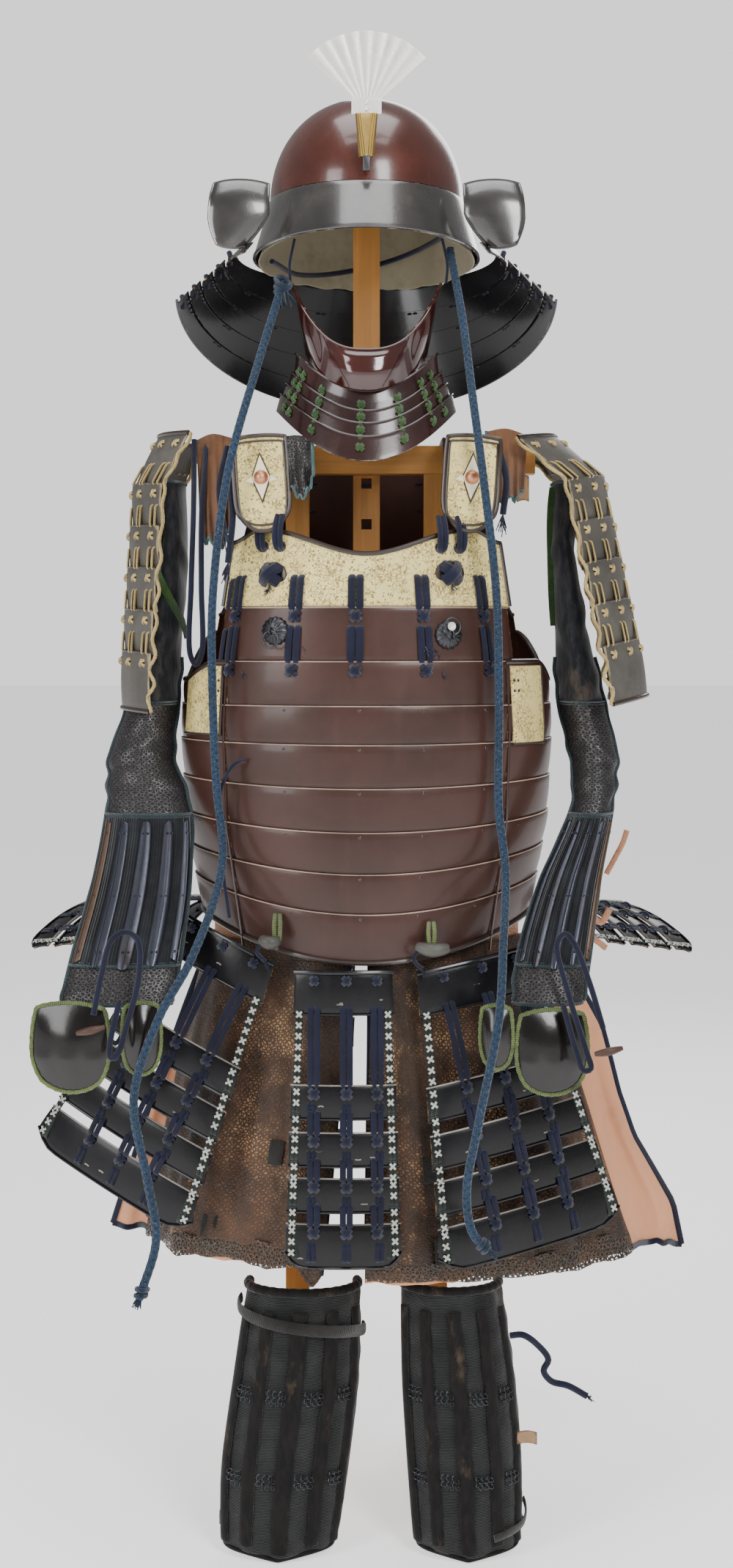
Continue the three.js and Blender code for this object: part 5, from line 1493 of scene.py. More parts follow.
def make_strap_loops():
    """Cord loops run from the strap ends through rimmed eyelets to knots in rimmed ovals."""
    loops, eyes = Form(), Form()
    for *eyelets, oval in STRAP_HOLES:
        for x, z in eyelets:
            d = math.degrees(math.asin(x / (np.interp(z, BODY_Z, BODY_W) + 1)))
            eyelet(eyes, body_point(d, z, 1), body_facing(d, z), 5.2)
            for lane in (-0.8, 0.8):
                rope = [body_point(d + lane * share, high, out) for high, out, share in
                        ((z - 3, -1, 0.6), (z - 1, 4.5, 1), (z + 9, 9, 1.2), (z + 22, 10, 1.2), (z + 34, 8, 1.2))]
                loops.tube(spline(rope, 14), 6.5, 8)
        x, z = oval
        d = math.degrees(math.asin(x / (np.interp(z, BODY_Z, BODY_W) + 1)))
        eyelet(eyes, body_point(d, z, 1), body_facing(d, z), 11, squash=1.25)
        here, right, down, away = knot(loops, body_face, d, -z, 2.5, 22)
        fray(loops, here + down * 12 + away, down + away * 0.3, 14, 9, int(z), 0.9, 0.5)
        stud(eyes, here + away * 8.5, away, 1.4, 0.8, slot=2)
    loops.object("strap_loops", "navy")
    eyes.object("chest_eyelets", "rolled navy cream")


# ---------- Tassets and shoulder guards ----------


def make_tasset(name, x, y, z, turn, swing, splay, top, foot, share):
    place = Place(x, y, z, turn, swing, splay)
    total = sum(TASSET_ROWS[-1])
    rng = np.random.default_rng(len(name) * 7 + int(abs(x)))

    def face(across, down, out=0.0):
        """Across in millimetres on the full width, down in millimetres of drop."""
        width = mix(top, foot, down / total)
        s = 2 * across / width
        return place(stack(across, 9 * s**2 - out, -down * share))

    form = Form()
    for k, (drop, height) in enumerate(TASSET_ROWS):
        last = k == len(TASSET_ROWS) - 1
        t = spread(6, height, 1.0)
        u = spread(18, top, 1.0)
        down = drop + height * t[:, None]
        half = mix(top, foot, down / total) / 2
        across = (2 * u[None] - 1) * half
        if last:
            corner = np.clip((np.abs(2 * u[None] - 1) - 0.7) / 0.3, 0, 1) ** 2
            down = down - 16 * corner * t[:, None]
        bow = 1.2 * np.sin(np.pi * t)[:, None]
        form.wall(face(across, down, 0.9 + bow - 1.5 * t[:, None]), 2.4, edge=1.0, wear=3.2)
        # Below the first lame, the thin pale line along each lame's top edge is a painted highlight.
        form.tube(face(across[0], down[0], 1.4), 5.0 if k == 0 else 1.8, 8, slot=2 if k == 0 else 1)
        form.tube(face(across[-1], down[-1], 0.2), 2.4, 6, slot=2)
        # A few pale scars in the lacquer.
        for _ in range(3):
            a, d = rng.uniform(-0.45, 0.45) * top, drop + rng.uniform(0.3, 0.8) * height
            if name in ("centre", "right", "left"):
                spot, right, low, away = frame_at(face, a, d, 1.0)
                reach = rng.uniform(1.5, 4)
                scar = [spot - right * reach, spot + low * rng.uniform(-1, 1), spot + right * reach]
                form.tube(np.array(scar), 1.6, 5, 0.3, away, slot=1)
    form.object(f"tasset_{name}_boards", "tasset chip black", [f"tasset_{name}"])

    seams = [(drop + height, low) for (drop, height), (low, _) in zip(TASSET_ROWS, TASSET_ROWS[1:])]
    form = Form()
    for column in TASSET_COLUMNS:
        for end, start in seams:
            lace_pair(form, face, column * top, (end - 9, start + 3), 1.0, 6.5, lift=2.6, tuck=3.2)
            knot(form, face, column * top, start + 9, 2.2, 10.5)
    for column in TASSET_COLUMNS:
        knot(form, face, column * top, 9, 2.0, 9)
        for drop, height in TASSET_ROWS[1:]:
            lace_pair(form, face, column * top * 1.08, (drop + 19, drop + height - 6), 1.0, 4.6, 1.8, 2.6)
    form.object(f"tasset_{name}_lacing", "navy")

    # Dark edge lacing crossed all the way down by small white stitches.
    form = Form()
    for sign in (-1, 1):
        edge = lambda at: sign * (mix(top, foot, at / total) / 2 - 6.5 - 5 * (at > total - 14))
        pieces = [(foot_at - 5, top_at + 4) for foot_at, top_at in seams]
        pieces += [(drop + 2, drop + height * 0.8) for drop, height in TASSET_ROWS[1:]]
        for d0, d1 in pieces:
            for lane in (-2, 2):
                lace(form, face, (edge(d0) + lane, edge(d1) + lane), (d0, d1), 3.8, 1.7, 2, slot=1, steps=7)
            for at in np.arange(d0 + 5, d1 - 3, 11.5):
                here, right, down, away = frame_at(face, edge(at), at, 2.0)
                for lean in (-1, 1):
                    reach = (right + down * lean) * 2.9
                    stitch = [here + reach * k + away * rise for k, rise in ((-1, 0.6), (0, 1.7), (1, 0.6))]
                    form.tube(np.array(stitch), 2.5, 6, 0.6, away)
    form.object(f"tasset_{name}_edging", "white dark_lace")


def make_tassets():
    for name, values in TASSETS.items():
        make_tasset(name, *values)
    # Green loops hang from the bottom lame and hold the tassets by a grey toggle each.
    loops, toggles, ties = Form(), Form(), Form()
    for x, y, top, foot, x0, x1, z in ((-94, -140, 686, 662, -112, -91, 660), (68, -152, 679, 660, 52, 86, 654)):
        for side in (-2.5, 2.5):
            bend = (x + side * 1.3, y - 4, mix(top, foot, 0.4))
            loops.tube(spline([(x + side, y + 4, top + 2), bend, (x + side, y - 8, foot)], 10), 4.4, 8)
        path = spline([(x0, y - 7, z + 3), ((x0 + x1) / 2, y - 11, z), (x1, y - 8, z + 2)], 12)
        toggles.tube(path, 12, 12, swell=lambda k, a: 0.72 + 0.5 * np.sin(np.pi * np.clip(k / 12, 0, 1)) ** 0.6)
        tie = [(x0 + 4, y - 9, z + 2), (x0 - 3, y - 11, z - 9), (x0 + 6, y - 9, z - 20)]
        ties.tube(spline(tie, 12), 4.5, 8)
        fray(ties, np.array([x0 + 6.0, y - 9, z - 19]), (0.2, 0, -1), 8, 10, int(abs(x)), 1.0, 0.4)
    loops.object("tasset_loops", "green")
    toggles.object("tasset_toggles", "horn")
    ties.object("tasset_ties", "navy")


def make_shoulder_guards():
    length = GUARD_SEAMS[-1]
    for side, (x, y, z, turn, splay, lean) in GUARDS.items():
        place = Place(x, y, z, turn, 0, splay)

        def face(across, down, out=0.0):
            """Across is a share from -1 to 1 of the half width."""
            inwards = lean * np.clip(1 - down / GUARD_SEAMS[1], 0, 1)
            half = mix(176, 196, down / length) / 2
            return place(stack(across * half, 40 * across**2 + inwards - out, -down))

        form = Form()
        s = span(40, 186, 1.0)[None]
        for k, (top, foot) in enumerate(zip(GUARD_SEAMS, GUARD_SEAMS[1:])):
            t = spread(6, foot - top, 1.0)[:, None]
            down = mix(top, foot + (2.5 if foot < length else 0), t)
            form.wall(face(s, down, mix(4.6, 0.2, t) + 1.6 * np.sin(np.pi * t)), 2.4, edge=1.0, wear=4)
            form.tube(face(s[0], top + 0.6, 4.2), 5.5 if k == 0 else 1.8, 8, slot=1)
            for spot in np.linspace(-0.9, 0.9, 13) if k else ():
                here, _, _, away = frame_at(face, spot, top + 5, 3.0)
                stud(form, here, away, 1.5, 0.8, slot=1, sides=7)
        form.tube(face(s[0], length - 2, 0.6), 5, 8, slot=1)
        form.object(f"shoulder_boards_{side}", "grey_leather rolled", [f"shoulder_guard_{side}"])

        form = Form()
        for k, seam in enumerate(GUARD_SEAMS[:-1]):
            for column in (-0.9, -0.6, -0.2, 0.2, 0.6, 0.9):
                if k:
                    lace_pair(form, face, column, (seam - 22, seam + 3), 0.0108, 6.5, lift=4.4, tuck=4.5)
                knot(form, face, column, seam + 12, 4.6, 8)
        # A ruffled binding runs down both long edges.
        for edge in (-1, 1):
            d = np.linspace(2, length - 2, 150)
            wave = np.sin(d * 0.19 + 0.9 * np.sin(d * 0.023)) * (2.2 + 0.9 * np.sin(d * 0.05))
            binding = face(edge * (1.0 + 0.011 * wave), d, 0.6 + 1.2 * np.cos(d * 0.17))
            form.tube(binding, 8.5, 8, 0.45, face(edge, d, 4) - face(edge, d, 0),
                      swell=wavy(0.1, 2.1))
        form.object(f"shoulder_lacing_{side}", "cream")


# ---------- Sleeves and hands ----------

# degrees, v, reach in degrees, half width in v, depth, lean: the main creases of each arm's cloth
CREASES = [
    (-150, 0.05, 70, 0.012, 2.6, 0.0004), (-40, 0.08, 60, 0.016, 3.2, -0.0005), (60, 0.13, 80, 0.014, 2.2, 0.0006),
    (150, 0.18, 60, 0.018, 3.0, -0.0003), (-80, 0.21, 90, 0.015, 2.6, 0.0005), (20, 0.27, 70, 0.02, 3.6, -0.0006),
    (100, 0.33, 60, 0.014, 2.4, 0.0004), (-20, 0.36, 90, 0.018, 3.2, 0.0005), (-130, 0.41, 60, 0.02, 3.4, -0.0006),
    (40, 0.45, 60, 0.016, 4.2, 0.0007), (-30, 0.49, 70, 0.014, 4.4, -0.0005), (10, 0.545, 80, 0.017, 3.8, 0.0004),
    (-90, 0.57, 50, 0.014, 3.0, 0.0006), (170, 0.53, 70, 0.02, 3.4, -0.0004), (150, 0.7, 60, 0.022, 2.8, 0.0005),
    (-160, 0.82, 70, 0.02, 2.4, -0.0005), (90, 0.94, 50, 0.016, 2.4, 0.0004), (-60, 0.965, 60, 0.013, 2.0, -0.0003),
]


def crease_depth(degrees, v, flip=1):
    """How far the cloth stands out: rounded ridges with a groove below each."""
    out = 0.0
    for at, height, reach, half, depth, lean in CREASES:
        off = (degrees * flip - at + 180) % 360 - 180
        down = (v - height - lean * off) / half
        ridge = np.exp(-(down**2)) - 0.8 * np.exp(-((down - 2.0) ** 2))
        out = out + depth * np.exp(-((off / reach) ** 2)) * ridge
    return out


def make_sleeves():
    for side, sign in SIDES.items():
        table = SLEEVES[side]
        face = lambda degrees, v, out=0.0: limb_point(table, degrees, v, out)
        degrees = np.arange(0, 360, 4.0)[None]
        form = Form()
        for start, end, out, slot in ((0, 0.39, 0, 0), (0.385, 0.64, 1.0, 1), (0.635, 0.905, 0, 0), (0.9, 1.0, 1.2, 1)):
            v = np.linspace(start, end, int((end - start) * 120) + 4)[:, None]
            outer = face(degrees, v, out + crease_depth(degrees, v, -sign) * (0.5 if slot else 0.8))
            form.wall(outer, 2.0, True, slot=slot, edge=0.7)
            for at in (start, end):
                ring = face(degrees[0], at, out + crease_depth(degrees[0], at, -sign) * 0.6)
                form.tube(ring, 3.6 if at in (0, 1.0) else 2.2, 6, slot=2, closed=True)
        sleeve = form.object(f"sleeve_cloth_{side}", "velvet_cloth dark_mail piping",
                             [f"sleeve_{side}"])

        # Piping down both seams, and a green braid round the upper arm.
        form = Form()
        for at in (-84, 84):
            v = np.linspace(0.3, 0.99, 90)
            form.tube(face(at, v, 1.8 + crease_depth(at, v, -sign) * 0.6), 4.2, 8)
        for rise in (0.635, 0.905):
            d = np.linspace(-84, 84, 40)
            form.tube(face(d, rise, 2.2), 3.4, 8)
        t = np.linspace(0, 1, 40)
        if sign < 0:
            braid = face(mix(-100, 95, t), mix(0.115, 0.262, t), 2.6 + 0.8 * np.sin(t * 9))
        else:
            braid = face(mix(-62, -78, t), mix(0.015, 0.245, t), 2.6 + 0.8 * np.sin(t * 9))
        form.tube(braid, 9, 8, 0.4, unit(braid - (table[0][1], 0, 0)) * (1, 1, 0), slot=1)
        form.object(f"sleeve_piping_{side}", "piping green_knot")

        # Five splints over mail down the forearm, each with paired holes and laces at both ends.
        form = Form()
        d = np.linspace(-77, 77, 60)[None]
        v = spread(20, 130, 1.0)[:, None] * 0.262 + 0.641
        form.wall(face(d, v, 2.2 + 0.5 * np.sin(d * 0.4)), 1.2, edge=0.5)
        for k in range(5):
            middle = (k - 2) * 29.5
            long = (0.0, 0.008, 0.012, 0.006, -0.004)[k]
            s = span(8, 22, 0.9)[None]
            t = spread(20, 120, 0.9)[:, None]
            taper = 1 - 0.16 * np.abs(2 * t - 1) ** 4
            bulge = 1.8 * (1 - s**2) + 1.2 * np.sin(np.pi * t)
            down = mix(0.652, 0.892 + long, t) + 0.006 * (1 - s * s) * (2 * t - 1)
            grid = face(middle + s * 8.2 * taper, down, 3.4 + bulge)
            outermost = (k == 0) if sign < 0 else (k == 4)
            form.wall(grid, 1.6, slot=2 if outermost else 1, edge=0.8, wear=2.6)
            form.tube(grid[:, s.shape[1] // 2] - 0.3, 1.6, 5, slot=2 if outermost else 1)
            for at in (0.668, 0.775, 0.876):
                for shift in (-2.6, 2.6):
                    here, right, down, away = frame_at(face, middle + shift, at, 5.4)
                    form.lathe([(0, 0.7), (1.3, 0.5), (1.8, 0.0), (0, -0.6)], 8, Seat(here, away), 3)
        form.object(f"forearm_plates_{side}", "arm_ribs splint rusty navy",
                    [f"forearm_splints_{side}"])
        make_hand(side, sign)


def make_hand(side, sign):
    """A lacquered plate over the back of the hand and one over the thumb, edged with wrapped cord."""
    form = Form()
    for k, (x, y, z, wide, tall, turn) in enumerate(HANDS[side].values()):
        place = Place(x, y, z, turn)

        def plate(s, t, out=0.0):
            square = np.where(t > 0, 0.55, 0.12)
            px = s * (square + (1 - square) * np.sqrt(1 - t * t / 2)) * wide / 2
            pz = t * (square + (1 - square) * np.sqrt(1 - s * s / 2)) * tall / 2
            knuckles = 1.6 * np.abs(np.sin(s * 4.7 + 1.57)) ** 0.6
            knuckles = knuckles * np.exp(-(((t + 0.35) / 0.25) ** 2)) * (k == 0)
            return place(stack(px, -11 * (1 - s * s) * (1 - t * t) - out - knuckles, pz))

        s, t = np.meshgrid(span(26, wide, 0.9), -span(28, tall, 0.9))
        form.wall(plate(s, t), 2, edge=0.8, wear=4)
        u, v = round_square(110)
        form.tube(plate(u * 0.99, v * 0.99, 0.3), 4.4, 10, slot=1, closed=True,
                  swell=wavy(0.12, 1.9))
    (x0, y0, z0, w0, *_), (x1, y1, z1, w1, *_) = HANDS[side].values()
    for shift in (-8, 0, 8):
        edge0, edge1 = x0 - sign * w0 * 0.46, x1 + sign * w1 * 0.44
        path = spline([(edge0, y0 + 3, z0 + shift), ((edge0 + edge1) / 2, (y0 + y1) / 2 - 1, z0 + shift - 3),
                       (edge1, y1 + 3, z1 + shift)], 10)
        form.tube(path, 5, 7, slot=3)
    # The wrist loop's toggle.
    x, z = ((-277, 586), (243, 565))[sign > 0]
    ends = spline([(x - 14, -244, z - 3), (x, -246, z), (x + 14, -243, z + 3)], 12)
    form.tube(ends, 7.5, 12, slot=4, swell=lambda i, a: 0.6 + 0.5 * np.sin(np.pi * i / 12))
    form.object(f"hand_guard_{side}", "hand green chip navy toggle",
                [f"hand_plate_{side}"])


# ---------- Shin guards ----------


def make_shins():
    for side, sign in SIDES.items():
        table = SHINS[side]

        def face(degrees, v, out=0.0):
            """The foot's edge is cut in shallow scallops that rise towards the sides."""
            p = limb_point(table, degrees, v, out)
            a = np.abs(np.asarray(degrees, float)) / SHIN_OPEN
            p[..., 2] += v**6 * (2.5 + 30 * a**3 + 5 * np.abs(np.sin(np.radians(degrees) * 2.6)))
            return p

        d = np.linspace(-SHIN_OPEN, SHIN_OPEN, 88)[None]
        v = np.linspace(0, 1, 64)[:, None]
        puckers = 0.7 * np.sin(v * 60 + d * 0.05) * np.exp(-(((v - 0.2) / 0.2) ** 2))
        quilt = 1.4 * np.sin(np.radians(d) * 9) + puckers
        form = Form().wall(face(d, v, quilt), 4, edge=1.2)
        form.tube(face(d[0], 0.012, -1), 10, 10, slot=1, swell=lambda i, a: 1 + 0.05 * np.sin(i * 1.3))
        form.tube(face(d[0], 1, -1.2), 5, 8, slot=1)
        for edge in (-SHIN_OPEN, SHIN_OPEN):
            line = face(edge, v[:, 0], -1.2)
            form.tube(line, 5, 8, slot=1)
        shell = form.object(f"shin_cloth_{side}", "shin_cloth strips", [f"shin_guard_{side}"])

        # Five strips of dark hide over the splints, mail between them at the sides.
        form = Form()
        for k, middle in enumerate((-64, -32, 0, 32, 64)):
            s = span(8, 16, 0.8)[None]
            t = spread(34, 250, 1.2)[:, None]
            low = 0.955 - 0.02 * (k % 2)
            wave = 0.5 * np.sin(t * 23 + k * 2) + 0.4 * np.sin(t * 61 + k)
            grid = face(middle + 0.8 * wave + s * (7.6 - 0.5 * (k % 2)), mix(0.10, low, t),
                        2.8 + 2.2 * np.sqrt(np.maximum(1 - s**2, 0.02)) + 0.4 * wave)
            form.wall(grid, 1.8, edge=0.9)
        for low in (0.36, 0.66):
            for gap in (-48, -16, 16, 48):
                for lane in range(3):
                    for row in range(4):
                        at = gap + (lane - 1) * 5.2 + 2.6 * (row % 2)
                        here, right, down, away = frame_at(face, at, low + 0.012 * row, 4.2 + 0.4 * (lane % 2))
                        lean = math.radians(38 if row % 2 else -38)
                        tilted = right * math.cos(lean) + away * math.sin(lean)
                        turn = turns(8)
                        ring = here + (np.cos(turn)[:, None] * tilted + np.sin(turn)[:, None] * down) * 2.7
                        form.tube(ring, 1.1, 4, slot=1, closed=True)
        form.object(f"shin_strips_{side}", "strips iron",
                    [f"shin_splints_{side}"])

        # Straps: one under the padded top, one near the foot of the right guard.
        form = Form()
        d = np.linspace(-104, 104, 70)
        for height, width, d in ((0.15, 13, d),) if sign < 0 else ((0.9, 9, d[d > 24]),):
            slope = 0.05 * (d / 104) * -sign
            line = face(d, height + slope, 5.8)
            form.tube(line, width, 8, 0.28, line - face(d, height + slope, 2.0))
        form.object(f"shin_strap_{side}", "ties_dark")
    form = Form()
    t, s = spread(6, 14, 0.6)[:, None], np.linspace(0, 1, 8)[None]
    form.wall(stack(160 + 21 * s, -122 - 2 * s, 136 - 13 * t + 2 * np.sin(s * 3)), 1.2)
    form.object("shin_tag", "tan_leather")


# ---------- Thigh guard ----------


def apron_point(shape, sign, across, v, inside=0.0):
    """Across runs from the slit (0) to the outer edge (1); v runs down from the waist."""
    v = np.asarray(v, float)
    sway = np.maximum(v, 0) ** 0.8
    (slit0, slit1), (edge0, edge1) = shape["slit"], shape["edge"]
    a = np.radians(mix(mix(slit0, slit1, v), mix(edge0, edge1, v), np.asarray(across)))
    fold = 5 * v * np.sin(across * 15) - inside
    x, y = (mix(waist, hem, sway) + fold for waist, hem in zip(APRON_WAIST, shape["hem"]))
    return stack(x * np.sin(a), -y * np.cos(a), mix(WAIST_Z, shape["foot"], v))


def ragged(across, seed, depth):
    """An uneven torn line: some of it hangs down, and most of it is worn short."""
    rng = np.random.default_rng(seed)
    line = rng.uniform(0, 1, 40)
    coarse = np.interp(across, np.linspace(0, 1, 12), rng.uniform(0, 1, 12))
    return depth * (0.35 * np.interp(across, np.linspace(0, 1, 40), line) + 0.65 * coarse)


def make_apron():
    lining = Form()
    for side, sign in SIDES.items():
        shape = APRON[side]
        across = np.linspace(0, 1, 90)[:: sign][None]
        v = spread(70, 340, 1.0)[:, None]
        end = 0.955 - ragged(across, 3 + sign, 0.05)
        if sign < 0:
            end = end + 0.12 * np.exp(-(((across - 0.03) / 0.05) ** 2))
        flutter = (1.5 + 2.6 * np.sin(across * 41 + v * 3) + 2.0 * np.sin(across * 23 - v * 7)) * v
        point = lambda a, b, out=0.0: apron_point(shape, sign, a, b, -out)
        grid = point(across, v * end, flutter + 0.6)
        form = Form().wall(grid, 2.0, edge=0.5)
        hem = Form()
        # Bare rings hang below the torn cloth as an open net.
        drop = spread(8, 30, 0.6)[:, None]
        net_end = 1.0 - ragged(across, 7 + sign, 0.025) + (end - 1).clip(0)
        hem.wall(point(across, mix(end - 0.012, net_end, drop), 1.2), 0.7)
        slit = point(0, v[:, 0] * end[0, 0 if sign > 0 else -1], 0.6)
        hem.tube(slit, 3.2, 7, slot=1)
        # Ribbed patches sewn where the plates once lay.
        patches = ((0.42, 0.85), (0.2, 0.6)) if sign < 0 else ((0.21, 0.86), (0.19, 0.62), (0.62, 0.7))
        for a0, v0 in patches:
            s, t = np.linspace(-1, 1, 8)[:: sign][None], spread(6, 24, 0.8)[:, None]
            patch = point(a0 + 0.028 * s, v0 + 0.075 * t, 3.6 + 0.8 * np.sin(t * 3))
            hem.wall(patch, 1.4, slot=2, edge=0.5)
        sheet = form.object(f"apron_skirt_{side}", "apron_mail", [f"apron_mail_{side}"])
        trim = hem.object(f"apron_hem_{side}", "mail_net navy ties_dark")

        # Lining: behind the mail, and out past its edge in a hanging flap.
        wide = np.linspace(0, 1.3, 90)[:: sign][None]

        def lining_point(a, b, out=0.0):
            inner = apron_point(shape, sign, np.minimum(a, 1), b, 4.4 - out)
            past = np.maximum(a - 1, 0) / 0.3
            share = np.interp(b, [0, 0.12, 0.3, 0.5, 0.64, 0.86, 1], [0.15, 0.6, 0.76, 0.66, 0.68, 1, 0.93])
            reach = past * shape["flap"] * (share if sign > 0 else b)
            fold = 9 * b * np.sin(past * 4) + 4 * b * np.sin(past * 11 + b * 4)
            return inner + stack(sign * 0.82 * reach, 0.55 * reach + fold, -6 * past * b)

        torn = 1.0 - ragged(np.minimum(wide, 1.3) / 1.3, 11 + sign, 0.03)
        rows = np.unique([*v[::2, 0], 1.0])[:, None]
        grid = lining_point(wide, rows * torn)
        lining.wall(grid, 1.2, edge=0.3)
        for edge in (grid[:, -1], grid[-1, -21:]) if sign > 0 else (grid[:, 0], grid[-1, :21]):
            lining.tube(edge, 7, 7, 0.5, [sign * 0.4, -1, 0.0], slot=1)
    a = np.radians(np.linspace(-92, 92, 80))[None]
    t = spread(5, 19, 1.0)[:, None]
    band = stack(169.9 * np.sin(a), -121.9 * np.cos(a), mix(WAIST_Z + 16, WAIST_Z - 3, t))
    lining.wall(band, 3.4, slot=2, edge=0.8)
    cloth = lining.object("apron_lining_cloth", "lining navy ties", ["apron_lining"])


def make_apron_ties():
    """Soft peach ties stand out behind the right tasset."""
    form = Form()
    for width, *points in (
        (7, (206, -86, 656), (222, -92, 676), (240, -96, 682), (252, -96, 674), (262, -92, 688)),
        (7, (212, -84, 650), (228, -92, 658), (244, -96, 656), (258, -94, 646)),
        (6, (262, -60, 722), (272, -64, 742), (279, -66, 756), (284, -64, 770)),
    ):
        form.tube(spline(points, 26), width, 8, 0.35, (0.1, -1, 0.35))
    form.object("apron_ties", "ties")


# ---------- Rags and piping at the shoulders ----------

# upper edge, lower edge, folds, finish of the cloth
RAGS = {
    "shoulder_rag_left": ([(-186, -58, 1196), (-168, -66, 1202), (-143, -78, 1196)],
                          [(-180, -82, 1092), (-160, -92, 1078), (-142, -96, 1108)], 5, "rag"),
    "shoulder_rag_right": ([(130, -72, 1204), (152, -64, 1208), (176, -54, 1202)],
                           [(132, -92, 1136), (152, -90, 1126), (170, -80, 1142)], 4, "rag"),
    "throat_mail_left": ([(-86, -104, 1196), (-72, -112, 1196), (-58, -118, 1192)],
                         [(-80, -116, 1140), (-66, -124, 1130), (-56, -126, 1150)], 2, "dark_mail"),
}


def make_rags():
    for n, (name, (upper, lower, folds, cloth)) in enumerate(RAGS.items()):
        top, foot = spline(upper, 30), spline(lower, 30)
        t = spread(22, 90, 0.8)[:, None, None]
        s = np.linspace(0, 1, 31)
        rng = np.random.default_rng(n + 30)
        torn = (0.12 * np.convolve(rng.uniform(-1, 1, 31), [0.3, 0.4, 0.3], "same"))[None, :, None]
        grid = top[None] + (foot - top)[None] * t * (1 + torn)
        wave = np.sin(s * folds * math.pi * 2 + n)[None, :, None] * (0.4 + 3.4 * t)
        wave = wave + 1.6 * np.sin(t * 9 + s[None, :, None] * 5)
        grid = grid + wave * np.array([0, -1.0, 0.0])
        form = Form().wall(grid, 1.2)
        form.tube(grid[:, -1] if "left" in name else grid[:, 0], 3.6, 7, slot=1)
        form.tube(grid[-1], 2.8, 7, slot=1)
        rag = form.object(name, cloth + " teal")
    form = Form()
    t, s = spread(6, 28, 0.6)[:, None], np.linspace(0, 1, 8)[None]
    form.wall(stack(164 + 13 * s, -60 - 4 * s, 1156 - 28 * t + 2 * np.sin(s * 3)), 1.4)
    form.object("shoulder_tag", "tan_leather")

def make_shoulder_frays():
    """Frayed cords hang over each shoulder strap's outer side."""
    form = Form()
    for width, *points in (
        (7, (-140, -96, 1190), (-146, -104, 1150), (-143, -108, 1110), (-148, -110, 1060)),
        (6, (-150, -92, 1186), (-158, -104, 1140), (-152, -108, 1096)),
        (7, (142, -92, 1186), (150, -102, 1150), (146, -106, 1112)),
    ):
        path = spline(points, 26)
        form.tube(path, width, 8)
        fray(form, path[-1], path[-1] - path[-3], 16, 20, abs(points[0][0]), 1.1, 0.35)
    form.object("shoulder_frays", "navy")


# ---------- Operators and panel ----------


class ARMOUR_OT_stage(bpy.types.Operator):
    """Sets the camera, the lights and the floor."""

    bl_idname = "armour.stage"
    bl_label = "Stage"

    def execute(self, context):
        make_stage()
        return {"FINISHED"}


class ARMOUR_OT_cords(bpy.types.Operator):
    """Makes the helmet cords, ties and wrist loops."""

    bl_idname = "armour.cords"
    bl_label = "Cords"

    def execute(self, context):
        make_cords()
        make_cheek_knot()
        return {"FINISHED"}


class ARMOUR_OT_stand(bpy.types.Operator):
    """Gives the wooden stand its grain."""

    bl_idname = "armour.stand"
    bl_label = "Stand"

    def execute(self, context):
        make_stand()
        return {"FINISHED"}


class ARMOUR_OT_helmet(bpy.types.Operator):
    """Makes the bowl, band, lining, neck guard and crest."""

    bl_idname = "armour.helmet"
    bl_label = "Helmet"

    def execute(self, context):
        make_helmet()
        return {"FINISHED"}


class ARMOUR_OT_mask(bpy.types.Operator):
    """Makes the half mask and the throat guard."""

    bl_idname = "armour.mask"
    bl_label = "Mask"

    def execute(self, context):
        make_mask()
        return {"FINISHED"}


class ARMOUR_OT_cuirass(bpy.types.Operator):
    """Makes the chest, the lames and the back plate."""

    bl_idname = "armour.cuirass"
    bl_label = "Cuirass"

    def execute(self, context):
        make_cuirass()
        return {"FINISHED"}


class ARMOUR_OT_lacing(bpy.types.Operator):
    """Laces the cuirass and sets its bosses and rings."""

    bl_idname = "armour.lacing"
    bl_label = "Lacing"

    def execute(self, context):
        make_lacing()
        make_bosses()
        return {"FINISHED"}


class ARMOUR_OT_straps(bpy.types.Operator):
    """Makes the shoulder straps, their ends and the cord loops."""

    bl_idname = "armour.straps"
    bl_label = "Straps"

    def execute(self, context):
        make_straps()
        make_strap_loops()
        return {"FINISHED"}


class ARMOUR_OT_tassets(bpy.types.Operator):
    """Makes the hanging boards, their lacing and loops."""

    bl_idname = "armour.tassets"
    bl_label = "Tassets"

    def execute(self, context):
        make_tassets()
        return {"FINISHED"}


class ARMOUR_OT_shoulders(bpy.types.Operator):
    """Makes and laces both shoulder guards."""

    bl_idname = "armour.shoulders"
    bl_label = "Shoulder guards"

    def execute(self, context):
        make_shoulder_guards()
        return {"FINISHED"}


class ARMOUR_OT_sleeves(bpy.types.Operator):
    """Makes the mailed sleeves, the splints and the hand plates."""

    bl_idname = "armour.sleeves"
    bl_label = "Sleeves"

    def execute(self, context):
        make_sleeves()
        return {"FINISHED"}


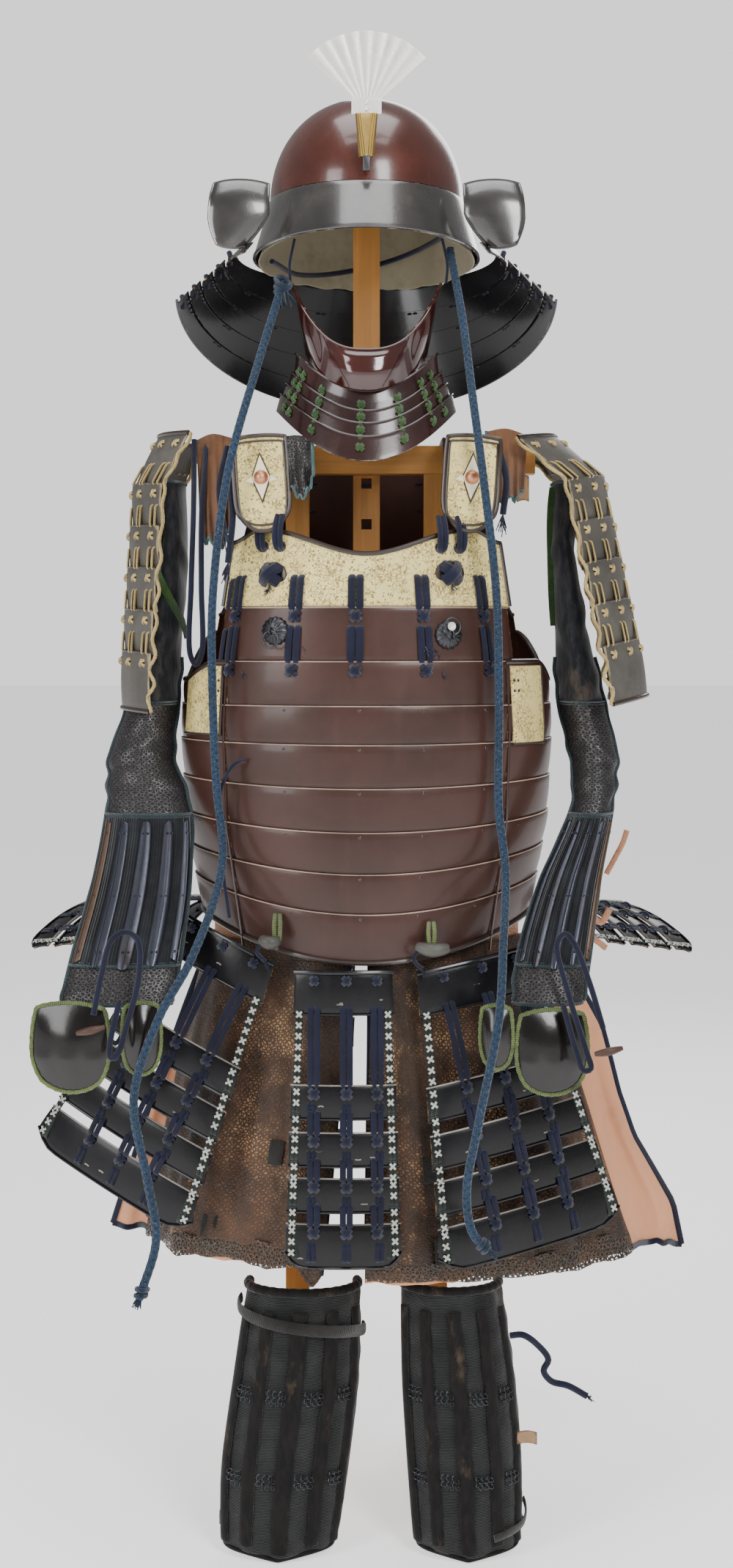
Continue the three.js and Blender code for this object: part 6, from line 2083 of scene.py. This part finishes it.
class ARMOUR_OT_shins(bpy.types.Operator):
    """Makes the shin guards, their strips and straps."""

    bl_idname = "armour.shins"
    bl_label = "Shin guards"

    def execute(self, context):
        make_shins()
        return {"FINISHED"}


class ARMOUR_OT_apron(bpy.types.Operator):
    """Makes the mail apron, its lining and ties."""

    bl_idname = "armour.apron"
    bl_label = "Thigh guard"

    def execute(self, context):
        make_apron()
        make_apron_ties()
        return {"FINISHED"}


class ARMOUR_OT_rags(bpy.types.Operator):
    """Makes the worn cloth and frayed cords at the shoulders."""

    bl_idname = "armour.rags"
    bl_label = "Shoulder rags"

    def execute(self, context):
        make_rags()
        make_shoulder_frays()
        return {"FINISHED"}


OPERATORS = (
    ARMOUR_OT_stage,
    ARMOUR_OT_cords,
    ARMOUR_OT_stand,
    ARMOUR_OT_helmet,
    ARMOUR_OT_mask,
    ARMOUR_OT_cuirass,
    ARMOUR_OT_lacing,
    ARMOUR_OT_straps,
    ARMOUR_OT_tassets,
    ARMOUR_OT_shoulders,
    ARMOUR_OT_sleeves,
    ARMOUR_OT_shins,
    ARMOUR_OT_apron,
    ARMOUR_OT_rags,
)


class ARMOUR_PT_build(bpy.types.Panel):
    """Lists the makers of the armour's pieces and the values they use."""

    bl_label = "Samurai armour"
    bl_space_type = "VIEW_3D"
    bl_region_type = "UI"
    bl_category = "Armour"

    def draw(self, context):
        for group in (context.scene.armour_colours, context.scene.armour_sizes):
            for key in group.bl_rna.properties.keys():
                if key not in ("rna_type", "name"):
                    self.layout.prop(group, key)
        for operator in OPERATORS:
            self.layout.operator(operator.bl_idname)


CLASSES = (ArmourColours, ArmourSizes, *OPERATORS, ARMOUR_PT_build)


def register():
    for cls in CLASSES:
        bpy.utils.register_class(cls)
    bpy.types.Scene.armour_colours = PointerProperty(type=ArmourColours)
    bpy.types.Scene.armour_sizes = PointerProperty(type=ArmourSizes)


def unregister():
    del bpy.types.Scene.armour_sizes, bpy.types.Scene.armour_colours
    for cls in reversed(CLASSES):
        bpy.utils.unregister_class(cls)


def main():
    register()
    for operator in OPERATORS:
        getattr(bpy.ops.armour, operator.bl_idname.split(".")[1])()


if __name__ == "__main__":
    main()
